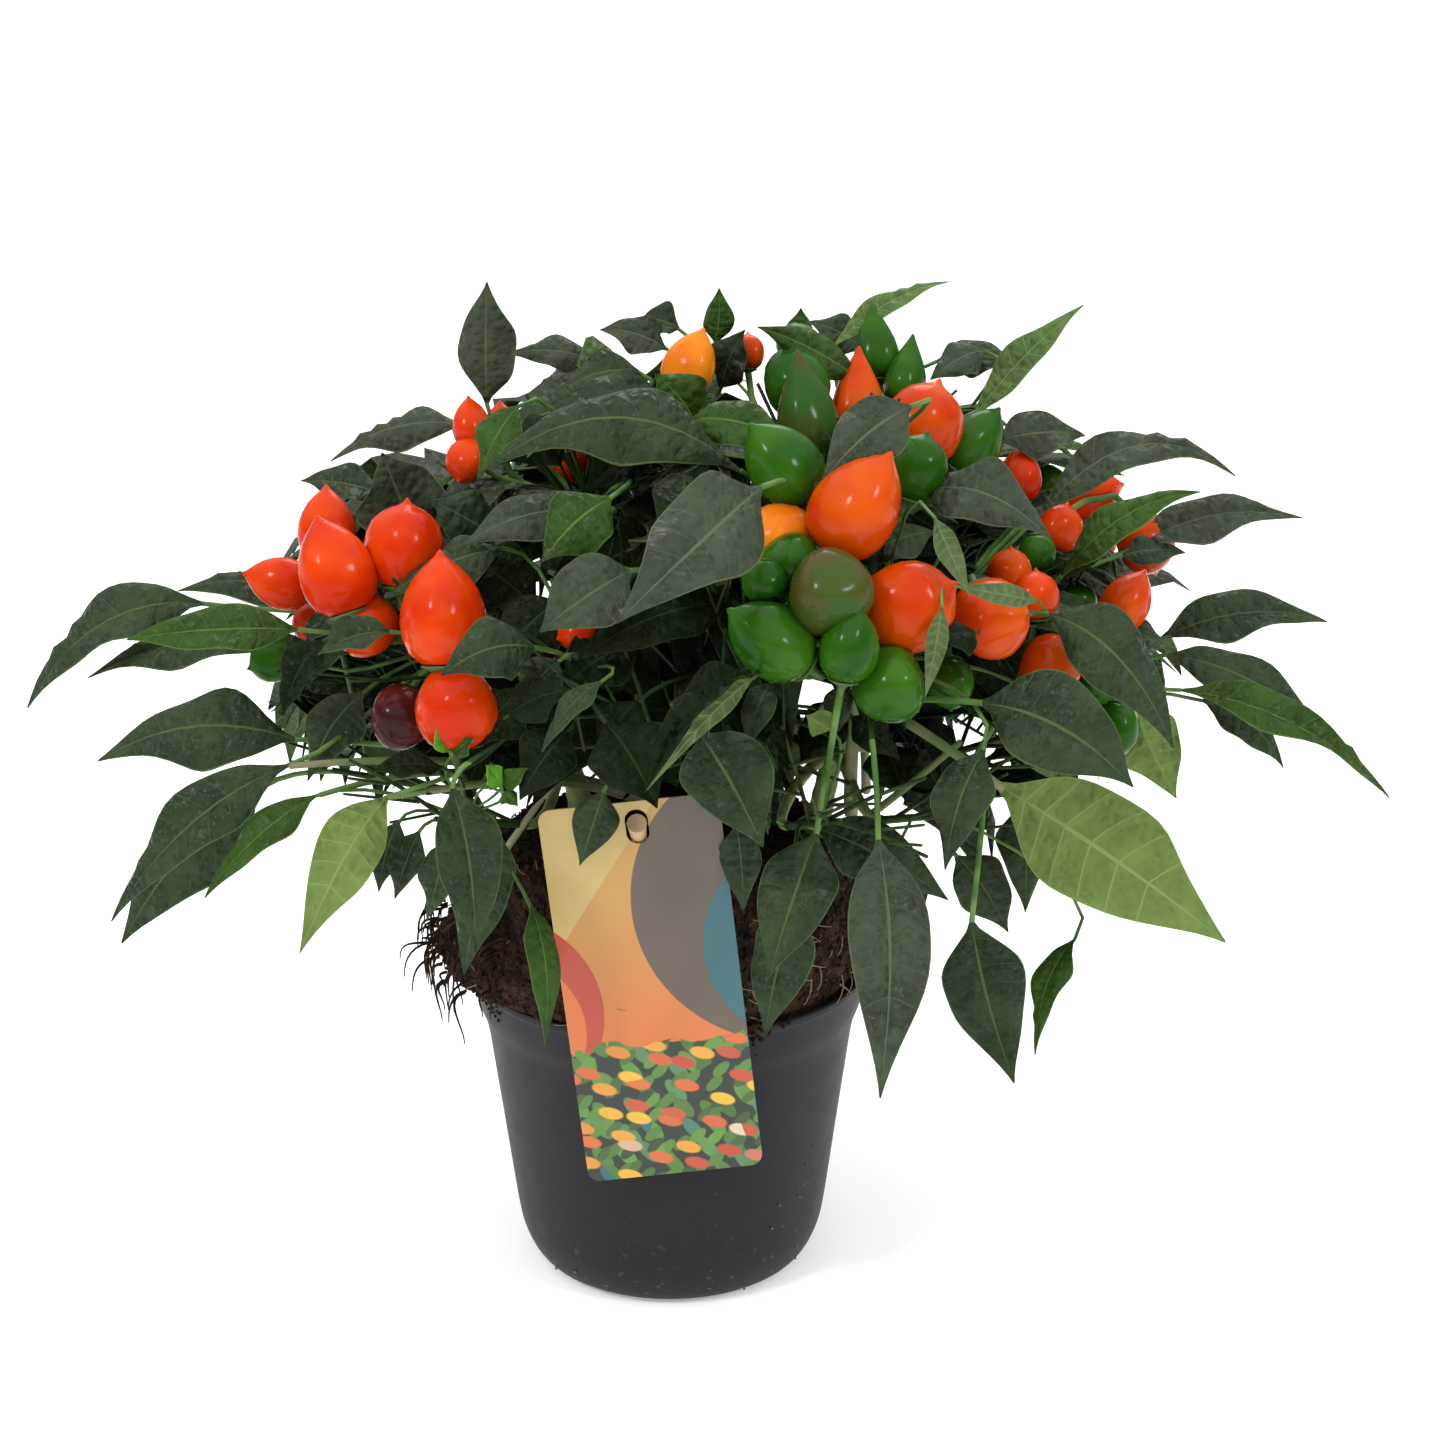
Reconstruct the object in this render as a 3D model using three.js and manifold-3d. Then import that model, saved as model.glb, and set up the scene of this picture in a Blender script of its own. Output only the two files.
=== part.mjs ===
import * as THREE from 'three';
import { mergeVertices } from 'three/addons/utils/BufferGeometryUtils.js';
import Module from 'manifold-3d';

// A potted ornamental chilli pepper plant, in millimetres, with Z up. The origin is the centre of the
// pot's flat underside, X runs to the right and Y away from the side that the tag hangs on.

const gap = 0.3;

// Pot
const potHeight = 135;
const rimRadius = 85;
const collarHeight = 20;
const collarStep = 5;
const waistRadius = 67;
const waistHeight = 24;
const footRadius = 52;
const wall = 2.4;
const potSides = 24;

// Root ball of peat, which stands proud of the rim and leans over it on the left
const soilTop = 193;
const soilTopRadius = 68;
const soilSideRadius = 81;
const spillBearing = 190;
const spillReach = 15;
const soilSides = 22;

// Stems, three from the one root ball
const stemFootRadius = 5.4;
const stemForkRadius = 3.8;
const stemFlare = 1.9;
const stems = {
  right: { foot: [62, -6], lean: [10, -2], height: 46 },
  left: { foot: [-36, 4], lean: [-10, -6], height: 44 },
  back: { foot: [16, 40], lean: [2, 8], height: 45 },
};

// Boughs and masses of foliage. Each mass keeps to a wedge of the crown round its own direction from
// the heart of the plant, given by a bearing (0 right, 90 back, 180 left, 270 front) and a rise.
const heart = new THREE.Vector3(10, 0, 190);
const boughRadius = 2.9;
const boughTipRadius = 1.9;
const leaderLength = 46;
const twigRadius = 1.1;
const rootRadius = 0.7;
const crownHalf = { x: 292, y: 236, z: 234 };
const crownMiddleX = 16;
const crownFoot = 122;

// Leaves and fruit
const keelShare = 0.022;
const stalkLength = 15;
const stray = 22;
const leafWidthShare = 0.43;
const fusingTolerances = [0.25, 0.2, 0.16, 0.12, 0.09, 0.06, 0.04, 0.02, 0.01];
const closestPoints = 0.0015;
const wholeShare = 0.985;

// Tag and the peg that it hangs on
const tagWidth = 71;
const tagHeight = 160;
const tagThickness = 0.9;
const tagCorner = 5;
const tagTurn = 6.5;
const tagMiddle = [-5.3, 154.8];
const tagBack = -rimRadius - 0.4;
const slotWidth = 11;
const slotHeight = 18;
const slotDrop = 7;
const pegWidth = 7;
const pegDepth = 4;

// Rows of a mass.
// leaves: bearing, rise and reach of the blade's foot from the heart; bearing, pitch, length and width
// of the blade; its arch as a share of the length; its roll.
// fruits: bearing, rise and reach of its middle from the heart; width; bearing and pitch of its nose.
const masses = [
  { name: 'top_left', stem: 'back', bearing: 178, rise: 74, reach: 114, twigs: 12,
    leaves: [
      [280, 82, 178, 210, 40, 38, 24, 0.02, 0],
      [195, 78, 186, 182, -14, 48, 24, 0.1, 15],
    ],
    fruits: [[93, 84, 197, 25, 10, 60]] },
  { name: 'top_right', stem: 'right', bearing: 352, rise: 70, reach: 116, twigs: 12,
    leaves: [
      [81, 73, 206, 0, 80, 26, 12, 0.02, 0],
      [16, 69, 202, 192, 25, 52, 25, 0.08, 15],
    ],
    fruits: [
      [60, 77, 202, 16, 10, 70], [13, 77, 193, 29, 0, 75], [336, 75, 191, 25, 0, 80],
      [16, 69, 196, 23, 0, 75],
    ] },
  { name: 'left', stem: 'left', bearing: 190, rise: 14, reach: 108, twigs: 4,
    leaves: [
      [183, 28, 222, 180, -31, 90, 38, 0.14, 23],
      [200, 31, 192, 187, -2, 72, 30, 0.06, 27],
      [187, 28, 185, 175, -12, 90, 34, 0.08, 18],
      [176, 32, 176, 165, 4, 70, 28, 0.1, 17],
      [200, 20, 176, 180, -6, 84, 36, 0.08, 36],
      [207, 17, 184, 188, -40, 95, 38, 0.12, 25],
      [189, 12, 186, 190, -50, 92, 40, 0.12, 35],
      [205, 29, 161, 204, -50, 45, 22, 0.1, 20],
    ],
    fruits: [[187, 32, 178, 16, 190, -30]] },
  { name: 'left_front', stem: 'left', bearing: 222, rise: 16, reach: 92, twigs: 4,
    leaves: [
      [211, 16, 180, 194, -44, 60, 26, 0.1, 15],
      [222, 19, 158, 208, -52, 76, 32, 0.14, -75],
      [234, 23, 162, 285, -74, 66, 30, 0.08, 0],
      [231, 15, 128, 219, -72, 66, 30, 0.08, 10],
      [230, 25, 158, 205, 0, 40, 20, 0.08, 20],
      [240, 4, 122, 296, -76, 55, 17, 0.1, -20],
    ],
    fruits: [[229, 33, 159, 29, 250, -70], [215, 30, 157, 22, 250, -60], [234, 43, 140, 18, 250, -40]] },
  { name: 'front', stem: 'left', bearing: 262, rise: 37, reach: 88, twigs: 8,
    leaves: [
      [256, 34, 160, 300, -42, 60, 34, 0.1, 0],
      [253, 27, 136, 235, -66, 42, 22, 0.05, 0],
      [279, 38, 172, 200, -42, 62, 26, 0.1, 40],
      [272, 33, 156, 305, -46, 68, 38, 0.08, 0],
    ],
    fruits: [] },
  { name: 'front_right', stem: 'right', bearing: 296, rise: 20, reach: 92, twigs: 6,
    leaves: [
      [300, 16, 152, 271, -75, 98, 38, 0.05, 0],
      [291, 18, 142, 225, -68, 62, 30, 0.08, 0],
      [290, 7, 122, 222, -70, 58, 28, 0.08, 10],
      [299, 18, 112, 345, -28, 62, 30, 0.08, -50],
    ],
    fruits: [] },
  { name: 'right_front', stem: 'right', bearing: 326, rise: 15, reach: 96, twigs: 4,
    leaves: [
      [313, 26, 180, 215, -72, 50, 20, 0.08, 10],
      [312, 5, 160, 340, -74, 72, 33, 0.08, -10],
      [315, 30, 178, 325, -24, 88, 44, 0.1, -32],
      [327, 18, 157, 358, -36, 110, 52, 0.08, 84],
      [327, 8, 130, 345, -56, 40, 22, 0.05, -20],
      [342, 12, 144, 310, -78, 48, 20, 0.05, 0],
      [340, 15, 162, 335, -66, 44, 19, 0.05, -20],
      [329, 35, 194, 348, -43, 74, 37, 0.1, -38],
      [338, -6, 165, 215, -66, 52, 18, 0.15, 30],
    ],
    fruits: [[325, 31, 148, 18, 320, -50], [333, 31, 183, 23, 320, -30], [322, 39, 187, 27, 310, -45]] },
  { name: 'right', stem: 'right', bearing: 358, rise: 19, reach: 106, twigs: 6,
    leaves: [
      [3, 23, 210, 0, 6, 72, 32, 0.08, -22],
      [0, 22, 210, 350, -25, 74, 34, 0.12, -20],
      [355, 18, 208, 0, -26, 102, 36, 0.12, -14],
      [5, 14, 216, 0, -38, 52, 24, 0.08, -24],
      [354, 19, 190, 358, -60, 46, 27, 0.05, 70],
      [6, 33, 216, 2, 10, 76, 30, 0.08, -24],
    ],
    fruits: [[350, 31, 206, 20, 340, 50], [346, 25, 185, 17, 330, -50], [347, 19, 184, 19, 340, -60]] },
  { name: 'right_back', stem: 'right', bearing: 35, rise: 17, reach: 108, twigs: 5, leaves: [], fruits: [] },
  { name: 'back_right', stem: 'back', bearing: 70, rise: 18, reach: 104, twigs: 7, leaves: [], fruits: [] },
  { name: 'back_left', stem: 'back', bearing: 108, rise: 18, reach: 104, twigs: 6, leaves: [], fruits: [] },
  { name: 'left_back', stem: 'left', bearing: 146, rise: 17, reach: 108, twigs: 6, leaves: [], fruits: [] },
  { name: 'high_left', stem: 'left', bearing: 203, rise: 43, reach: 104, twigs: 7,
    leaves: [
      [229, 53, 178, 195, -18, 56, 28, 0.1, 20],
      [181, 50, 164, 200, 35, 56, 36, 0.05, 60],
      [167, 46, 190, 180, 10, 44, 24, 0.08, 30],
    ],
    fruits: [
      [176, 41, 198, 27, 180, 60], [204, 41, 199, 31, 200, 70], [203, 48, 186, 30, 200, 60],
      [190, 36, 203, 25, 185, 12], [205, 38, 177, 23, 220, -50], [224, 42, 175, 33, 230, 60],
    ] },
  { name: 'high_back_left', stem: 'left', bearing: 156, rise: 45, reach: 104, twigs: 7,
    leaves: [
      [148, 55, 198, 170, -14, 64, 28, 0.08, 17],
      [167, 64, 198, 200, 78, 54, 25, 0.02, 0],
      [124, 68, 202, 178, 3, 46, 22, 0.08, 10],
    ],
    fruits: [[174, 62, 194, 17, 180, 60], [180, 60, 184, 16, 200, -30], [158, 63, 186, 20, 160, 60]] },
  { name: 'high_front_left', stem: 'left', bearing: 243, rise: 46, reach: 100, twigs: 11,
    leaves: [
      [257, 51, 180, 230, -30, 48, 30, 0.06, 20],
      [245, 42, 178, 215, -8, 46, 24, 0.12, 30],
      [235, 64, 160, 195, -15, 54, 26, 0.1, 20],
      [253, 73, 180, 205, -32, 42, 24, 0.08, 20],
      [250, 61, 183, 215, -36, 44, 24, 0.05, 20],
      [210, 67, 203, 217, -50, 36, 18, 0.1, 0],
    ],
    fruits: [] },
  { name: 'high_front', stem: 'right', bearing: 281, rise: 47, reach: 100, twigs: 8,
    leaves: [
      [283, 57, 206, 210, -35, 78, 38, 0.06, 40],
      [280, 51, 163, 192, -17, 66, 28, 0.08, 25],
      [288, 68, 180, 187, 2, 100, 34, 0.22, 22],
    ],
    fruits: [
      [291, 56, 180, 24, 250, 15], [289, 50, 186, 20, 270, -40], [283, 49, 188, 16, 200, -10],
      [292, 45, 193, 27, 290, -35], [284, 42, 181, 26, 200, 30], [294, 63, 195, 26, 220, 35],
      [293, 38, 188, 21, 270, 55], [301, 34, 179, 23, 280, -50],
    ] },
  { name: 'high_front_right', stem: 'right', bearing: 318, rise: 45, reach: 104, twigs: 7,
    leaves: [
      [312, 59, 230, 205, -35, 50, 27, 0.08, 30],
      [325, 57, 192, 325, -16, 66, 30, 0.12, -15],
      [319, 51, 193, 190, -24, 40, 19, 0.08, 15],
      [309, 48, 213, 335, -34, 48, 18, -0.1, 30],
      [309, 42, 212, 265, -70, 36, 14, 0, 40],
    ],
    fruits: [
      [301, 54, 202, 33, 310, 60], [306, 43, 188, 33, 350, 45], [325, 58, 200, 24, 330, 60],
      [336, 39, 189, 18, 330, 40],
    ] },
  { name: 'high_right', stem: 'right', bearing: 354, rise: 43, reach: 106, twigs: 6,
    leaves: [
      [9, 52, 205, 12, 3, 44, 22, 0.08, -20],
      [356, 45, 198, 6, 8, 86, 30, 0.25, -14],
      [345, 39, 194, 348, 32, 66, 26, 0.14, -14],
      [10, 56, 208, 0, 44, 66, 24, 0.05, -10],
    ],
    fruits: [
      [348, 62, 203, 32, 0, 66], [0, 56, 202, 25, 0, 55], [8, 48, 203, 18, 0, 60],
      [4, 40, 200, 19, 0, -30], [0, 32, 189, 16, 340, -30], [356, 42, 188, 16, 340, -40],
    ] },
  { name: 'high_back_right', stem: 'back', bearing: 44, rise: 45, reach: 106, twigs: 6,
    leaves: [
      [30, 58, 224, 0, -9, 46, 23, 0.08, -20],
      [35, 70, 211, 22, 24, 62, 22, 0.08, -5],
      [40, 64, 217, 180, 22, 34, 20, 0.08, 10],
    ],
    fruits: [[27, 66, 217, 23, 20, 70]] },
  { name: 'high_back', stem: 'back', bearing: 100, rise: 45, reach: 106, twigs: 9,
    leaves: [[99, 67, 208, 180, 15, 36, 22, 0.08, 15]],
    fruits: [] },
];

const wasm = await Module();
wasm.setup();

const plant = new THREE.Group();

const materials = {
  pot: new THREE.MeshStandardMaterial({ color: 0x3b3e42, roughness: 0.5, metalness: 0 }),
  peat: new THREE.MeshStandardMaterial({ color: 0x38241a, roughness: 1, metalness: 0 }),
  stem: new THREE.MeshStandardMaterial({ color: 0x7d9350, roughness: 0.65, metalness: 0 }),
  foliage: new THREE.MeshStandardMaterial({ color: 0x2c4630, roughness: 0.55, metalness: 0 }),
  tag: new THREE.MeshStandardMaterial({ color: 0xd8903c, roughness: 0.45, metalness: 0 }),
  peg: new THREE.MeshStandardMaterial({ color: 0xc9a877, roughness: 0.7, metalness: 0 }),
};

function addPiece(name, geometry, material) {
  const mesh = new THREE.Mesh(geometry, material);
  mesh.name = name;
  plant.add(mesh);
  return mesh;
}

function radians(degrees) {
  return THREE.MathUtils.degToRad(degrees);
}

// Unit vector of a bearing and a rise above the level
function toward(bearing, rise) {
  const level = Math.cos(radians(rise));
  return new THREE.Vector3(
    level * Math.cos(radians(bearing)),
    level * Math.sin(radians(bearing)),
    Math.sin(radians(rise)),
  );
}

// The same number from 0 to 1 each time for one mass, item and use
function chance(mass, item, use) {
  const wave = Math.sin(mass * 12.9898 + item * 78.233 + use * 37.719) * 43758.5453;
  return wave - Math.floor(wave);
}

// A closed body through rings of points. All rings have the same count, apart from a tip of one point.
function loft(rings) {
  const points = rings.flat();
  const faces = [];
  const starts = [];
  let next = 0;
  for (const ring of rings) {
    starts.push(next);
    next += ring.length;
  }
  for (let i = 0; i + 1 < rings.length; i++) {
    const here = rings[i].length;
    const there = rings[i + 1].length;
    const sides = Math.max(here, there);
    for (let k = 0; k < sides; k++) {
      const after = (k + 1) % sides;
      const a = starts[i] + (here > 1 ? k : 0);
      const b = starts[i] + (here > 1 ? after : 0);
      const c = starts[i + 1] + (there > 1 ? after : 0);
      const d = starts[i + 1] + (there > 1 ? k : 0);
      if (here > 1) faces.push([a, b, c]);
      if (there > 1) faces.push([a, c, d]);
    }
  }
  const first = rings[0].length;
  const last = rings.at(-1).length;
  for (let k = 1; k + 1 < first; k++) faces.push([0, k + 1, k]);
  for (let k = 1; k + 1 < last; k++) faces.push([starts.at(-1), starts.at(-1) + k, starts.at(-1) + k + 1]);
  const volume = faces.reduce((sum, [a, b, c]) => (
    sum + points[a].dot(new THREE.Vector3().crossVectors(points[b], points[c]))
  ), 0);
  const outward = volume > 0 ? faces : faces.map(([a, b, c]) => [a, c, b]);
  const geometry = new THREE.BufferGeometry().setFromPoints(points);
  geometry.setIndex(outward.flat());
  return geometry;
}

function solidOf(geometry) {
  let bare = geometry;
  if (!geometry.index || geometry.attributes.uv) {
    bare = geometry.clone();
    bare.deleteAttribute('normal');
    bare.deleteAttribute('uv');
    bare = mergeVertices(bare, 1e-3);
  }
  return new wasm.Manifold(new wasm.Mesh({
    numProp: 3,
    vertProperties: new Float32Array(bare.attributes.position.array),
    triVerts: new Uint32Array(bare.index.array),
  }));
}

function geometryOf(solid) {
  const mesh = solid.getMesh();
  const geometry = new THREE.BufferGeometry();
  geometry.setAttribute('position', new THREE.BufferAttribute(mesh.vertProperties, 3));
  geometry.setIndex(new THREE.BufferAttribute(mesh.triVerts, 1));
  return geometry;
}

function pointsOf(geometry) {
  const position = geometry.attributes.position;
  return Array.from({ length: position.count }, (_, i) => (
    new THREE.Vector3().fromBufferAttribute(position, i)
  ));
}

// The largest outer body of a solid: loose scraps and the walls of sealed hollows fall away
function mainBody(solid) {
  return solid.decompose().sort((a, b) => b.volume() - a.volume())[0];
}

// Pieces fused to one body without needless points. A tolerance that pinches a twig off, or leaves two
// points so close that they would fall together, gives way to a finer one, and where none is left the
// last leaf is left off.
function fuse(solids) {
  const joined = mainBody(wasm.Manifold.union(solids));
  const plain = solidOf(geometryOf(joined));
  for (const tolerance of fusingTolerances) {
    const body = mainBody(plain.simplify(tolerance));
    const geometry = geometryOf(body);
    const count = geometry.attributes.position.count;
    const apart = mergeVertices(geometry.clone(), closestPoints).attributes.position.count === count;
    if (apart && body.volume() > wholeShare * joined.volume()) return geometry;
  }
  return fuse(solids.slice(0, -1));
}

const unturned = new THREE.Quaternion();

function turnFrom(axis, other) {
  return new THREE.Quaternion().setFromUnitVectors(axis, other);
}

// A ring of points square to an axis, which may be turned round a bend with all that it carries
function ringAround(centre, axis, radius, sides, turn = unturned) {
  const side = new THREE.Vector3(-axis.y, axis.x, 0);
  if (side.length() < 0.01) side.set(1, 0, 0);
  side.normalize();
  const up = new THREE.Vector3().crossVectors(axis, side).normalize();
  return Array.from({ length: sides }, (_, k) => {
    const angle = (2 * Math.PI * k) / sides;
    const spoke = side.clone().multiplyScalar(Math.cos(angle)).addScaledVector(up, Math.sin(angle));
    return centre.clone().addScaledVector(spoke.applyQuaternion(turn), radius);
  });
}

// A round limb along a curve, whose first ring is square to an axis
function limb(curve, radiusAt, sides, steps, axis = curve.getTangent(0)) {
  return loft(Array.from({ length: steps + 1 }, (_, i) => {
    const along = i / steps;
    const turn = i === 0 ? unturned : turnFrom(axis, curve.getTangent(along));
    return ringAround(curve.getPoint(along), axis, radiusAt(along), sides, turn);
  }));
}

// Pot, turned in one piece: flat underside, rounded heel, tapered body and a wider collar
function makePot() {
  const shoulder = potHeight - collarHeight;
  const bodyTop = rimRadius - collarStep;
  const outer = [
    [0, 0], [footRadius, 0], [footRadius + 7, 2.5], [waistRadius - 3, 12], [waistRadius, waistHeight],
    [bodyTop - 1, shoulder], [bodyTop + collarStep - 3, shoulder + 2],
    [rimRadius - 1, potHeight - 3], [rimRadius, potHeight],
  ];
  const inner = [
    [rimRadius - wall, potHeight], [bodyTop - 1 - wall, shoulder - 3],
    [waistRadius - wall, waistHeight], [footRadius, wall], [0, wall],
  ];
  const profile = [...outer, ...inner, outer[0]].map(([r, z]) => new THREE.Vector2(r, z));
  return new THREE.LatheGeometry(profile, potSides).rotateX(Math.PI / 2);
}

// How far the peat's side stands out at a bearing
function spill(bearing) {
  const facing = Math.max(0, Math.cos(radians(bearing - spillBearing)));
  return spillReach * facing ** 3;
}

function makeSoil(swell) {
  const levels = [
    [wall + gap, footRadius - 2, 0, 0], [waistHeight, waistRadius - wall - 1, 0, 0],
    [potHeight - collarHeight - 4, rimRadius - collarStep - wall - 2.5, 0, 0],
    [potHeight - 0.4, rimRadius - wall - 3.4, 0, 0],
    [potHeight + 1.4, soilSideRadius + 1, 0.75, 1], [potHeight + 14, soilSideRadius + 2, 1, 2],
    [potHeight + 32, soilSideRadius - 2, 0.55, 2], [soilTop - 9, soilTopRadius + 6, 0.2, 2],
    [soilTop, soilTopRadius, 0, 0],
  ];
  return loft(levels.map(([z, radius, lean, rough], level) => (
    Array.from({ length: soilSides }, (_, k) => {
      const bearing = (360 * k) / soilSides;
      const r = radius + lean * spill(bearing) + rough * (chance(level, k, 5) - 0.5) * 2 + swell;
      return new THREE.Vector3(
        r * Math.cos(radians(bearing)),
        r * Math.sin(radians(bearing)),
        z + (level > 3 ? swell : 0),
      );
    })
  )));
}

// Stems, each from its flat foot on the peat, with a flare, to its fork
function stemCurve({ foot, lean, height }) {
  const base = soilTop + gap;
  const [x, y] = foot;
  const [dx, dy] = lean;
  return new THREE.QuadraticBezierCurve3(
    new THREE.Vector3(x, y, base),
    new THREE.Vector3(x + dx * 0.3, y + dy * 0.3, base + height * 0.5),
    new THREE.Vector3(x + dx, y + dy, base + height),
  );
}

function makeStem(curve, swell) {
  const radiusAt = (along) => (
    THREE.MathUtils.lerp(stemFootRadius, stemForkRadius, along) + stemFlare * (1 - along) ** 8 + swell
  );
  return limb(curve, radiusAt, 8, 4, new THREE.Vector3(0, 0, 1));
}

// A bough leaves its stem below the fork and ends square to the direction of its mass
function boughCurve(mass, stem, place) {
  const aim = toward(mass.bearing, mass.rise);
  const start = stem.getPoint(0.62 + 0.36 * place);
  const tip = heart.clone().addScaledVector(aim, mass.reach);
  const span = start.distanceTo(tip);
  const away = tip.clone().sub(start).setZ(0).normalize();
  const leave = away.multiplyScalar(0.75).add(new THREE.Vector3(0, 0, 0.65)).normalize();
  return new THREE.CubicBezierCurve3(
    start,
    start.clone().addScaledVector(leave, span * 0.35),
    tip.clone().addScaledVector(aim, -span * 0.3),
    tip,
  );
}

// A leaf on its stalk, of sections with two edges and a keel. It hangs in an arch in the upright plane
// of its bearing, and the roll lowers its left-hand edge.
function makeLeaf(root, foot, blade, swell = 0, bladeOnly = false) {
  const { bearing, pitch, length, width, arch, roll } = blade;
  const along = toward(bearing, pitch);
  const above = toward(bearing, pitch + 90);
  const side = new THREE.Vector3(-Math.sin(radians(bearing)), Math.cos(radians(bearing)), 0);
  side.applyAxisAngle(along, radians(roll));
  const top = new THREE.Vector3().crossVectors(along, side);
  const reachOf = (share) => foot.clone()
    .addScaledVector(along, length * share)
    .addScaledVector(above, length * arch * 4 * share * (1 - share));
  const section = (centre, half, keel, turn = unturned) => {
    const across = side.clone().applyQuaternion(turn);
    const upper = top.clone().applyQuaternion(turn);
    return [
      centre.clone().addScaledVector(across, half + swell).addScaledVector(upper, swell),
      centre.clone().addScaledVector(across, -half - swell).addScaledVector(upper, swell),
      centre.clone().addScaledVector(upper, -keel - swell),
    ];
  };
  const keel = Math.max(1.1, length * keelShare);
  const half = width / 2;
  const stalk = foot.clone().sub(root).normalize();
  const intoStalk = turnFrom(along, stalk);
  const halfway = unturned.clone().slerp(intoStalk, 0.5);
  const rings = [section(root, rootRadius, rootRadius, intoStalk)];
  if (foot.distanceTo(root) > 1.4 * stalkLength) rings.push(section(foot, 1.3, 1.5, halfway));
  if (bladeOnly) rings.splice(0, rings.length, section(reachOf(0.14), half * 0.5, keel));
  const stations = blade.stations ?? [[0.3, 1], [0.66, 0.72]];
  for (const [share, wide] of stations) rings.push(section(reachOf(share), half * wide, keel));
  rings.push([reachOf(1).addScaledVector(along, swell)]);
  return loft(rings);
}

// A round fruit that narrows to a pointed nose, in one body with the stalk that bends into its cap
function makeFruit(root, middle, width, nose, swell = 0) {
  const radius = width / 2;
  const sides = width > 24 ? 6 : 5;
  const at = (share) => middle.clone().addScaledVector(nose, radius * share);
  const intoStalk = turnFrom(nose, at(-1.05).sub(root).normalize());
  const halfway = unturned.clone().slerp(intoStalk, 0.5);
  return loft([
    ringAround(root, nose, rootRadius + swell, sides, intoStalk),
    ringAround(at(-1.05), nose, 1.5 + swell, sides, halfway),
    ringAround(at(-0.45), nose, radius * 0.96 + swell, sides),
    ringAround(at(0.5), nose, radius * 0.84 + swell, sides),
    [at(1.45).addScaledVector(nose, swell)],
  ]);
}

function makeTwig(root, tip, radius, swell = 0) {
  const axis = tip.clone().sub(root).normalize();
  return loft([
    ringAround(root, axis, radius * 0.7 + swell, 3),
    ringAround(tip, axis, radius + swell, 3),
  ]);
}

// Tag, a rounded card with an upright slot near its top, hung just clear of the rim
function makeTag(swell) {
  const halfWidth = tagWidth / 2 + swell;
  const halfHeight = tagHeight / 2 + swell;
  const shape = new THREE.Shape();
  const corner = tagCorner;
  shape.moveTo(-halfWidth + corner, -halfHeight);
  shape.lineTo(halfWidth - corner, -halfHeight);
  shape.quadraticCurveTo(halfWidth, -halfHeight, halfWidth, -halfHeight + corner);
  shape.lineTo(halfWidth, halfHeight - corner);
  shape.quadraticCurveTo(halfWidth, halfHeight, halfWidth - corner, halfHeight);
  shape.lineTo(-halfWidth + corner, halfHeight);
  shape.quadraticCurveTo(-halfWidth, halfHeight, -halfWidth, halfHeight - corner);
  shape.lineTo(-halfWidth, -halfHeight + corner);
  shape.quadraticCurveTo(-halfWidth, -halfHeight, -halfWidth + corner, -halfHeight);
  const slotRadius = slotWidth / 2;
  const slotLow = tagHeight / 2 - slotDrop - slotHeight + slotRadius;
  const slot = new THREE.Path();
  slot.absarc(0, slotLow, slotRadius, Math.PI, 2 * Math.PI, false);
  slot.absarc(0, slotLow + slotHeight - slotWidth, slotRadius, 0, Math.PI, false);
  if (swell === 0) shape.holes.push(slot);
  const depth = tagThickness + 2 * swell;
  const card = new THREE.ExtrudeGeometry(shape, { depth, bevelEnabled: false, curveSegments: 3 });
  const [x, z] = tagMiddle;
  return card.rotateX(Math.PI / 2).rotateY(-radians(tagTurn)).translate(x, tagBack + swell, z);
}

// Peg of pale wood through the slot, down to the edge of the peat
function pegEnds() {
  const slotMiddle = tagHeight / 2 - slotDrop - slotHeight / 2;
  const x = tagMiddle[0] - slotMiddle * Math.sin(radians(tagTurn));
  const z = tagMiddle[1] + slotMiddle * Math.cos(radians(tagTurn));
  const front = new THREE.Vector3(x, tagBack - 4, z + 3.5);
  const back = new THREE.Vector3(x + 2, -soilTopRadius + 3, soilTop + gap + 0.9);
  return [front, back];
}

function makePeg(swell) {
  const [front, back] = pegEnds();
  const axis = back.clone().sub(front).normalize();
  const across = new THREE.Vector3(1, 0, 0);
  const up = new THREE.Vector3().crossVectors(across, axis).normalize();
  const section = (centre, share) => [[1, 1], [-1, 1], [-1, -1], [1, -1]].map(([a, b]) => (
    centre.clone()
      .addScaledVector(across, a * (pegWidth / 2 * share + swell))
      .addScaledVector(up, b * (pegDepth / 2 * share + swell))
  ));
  return loft([section(front, 0.8), section(front.clone().lerp(back, 0.12), 1), section(back, 0.6)]);
}

addPiece('pot', makePot(), materials.pot);
addPiece('root_ball', makeSoil(0), materials.peat);
addPiece('tag', makeTag(0), materials.tag);
addPiece('tag_peg', makePeg(0), materials.peg);

const stemCurves = {};
let limbs = wasm.Manifold.union([]);
for (const [name, size] of Object.entries(stems)) {
  stemCurves[name] = stemCurve(size);
  addPiece(`stem_${name}`, makeStem(stemCurves[name], 0), materials.stem);
  limbs = limbs.add(solidOf(makeStem(stemCurves[name], gap)));
}

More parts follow.
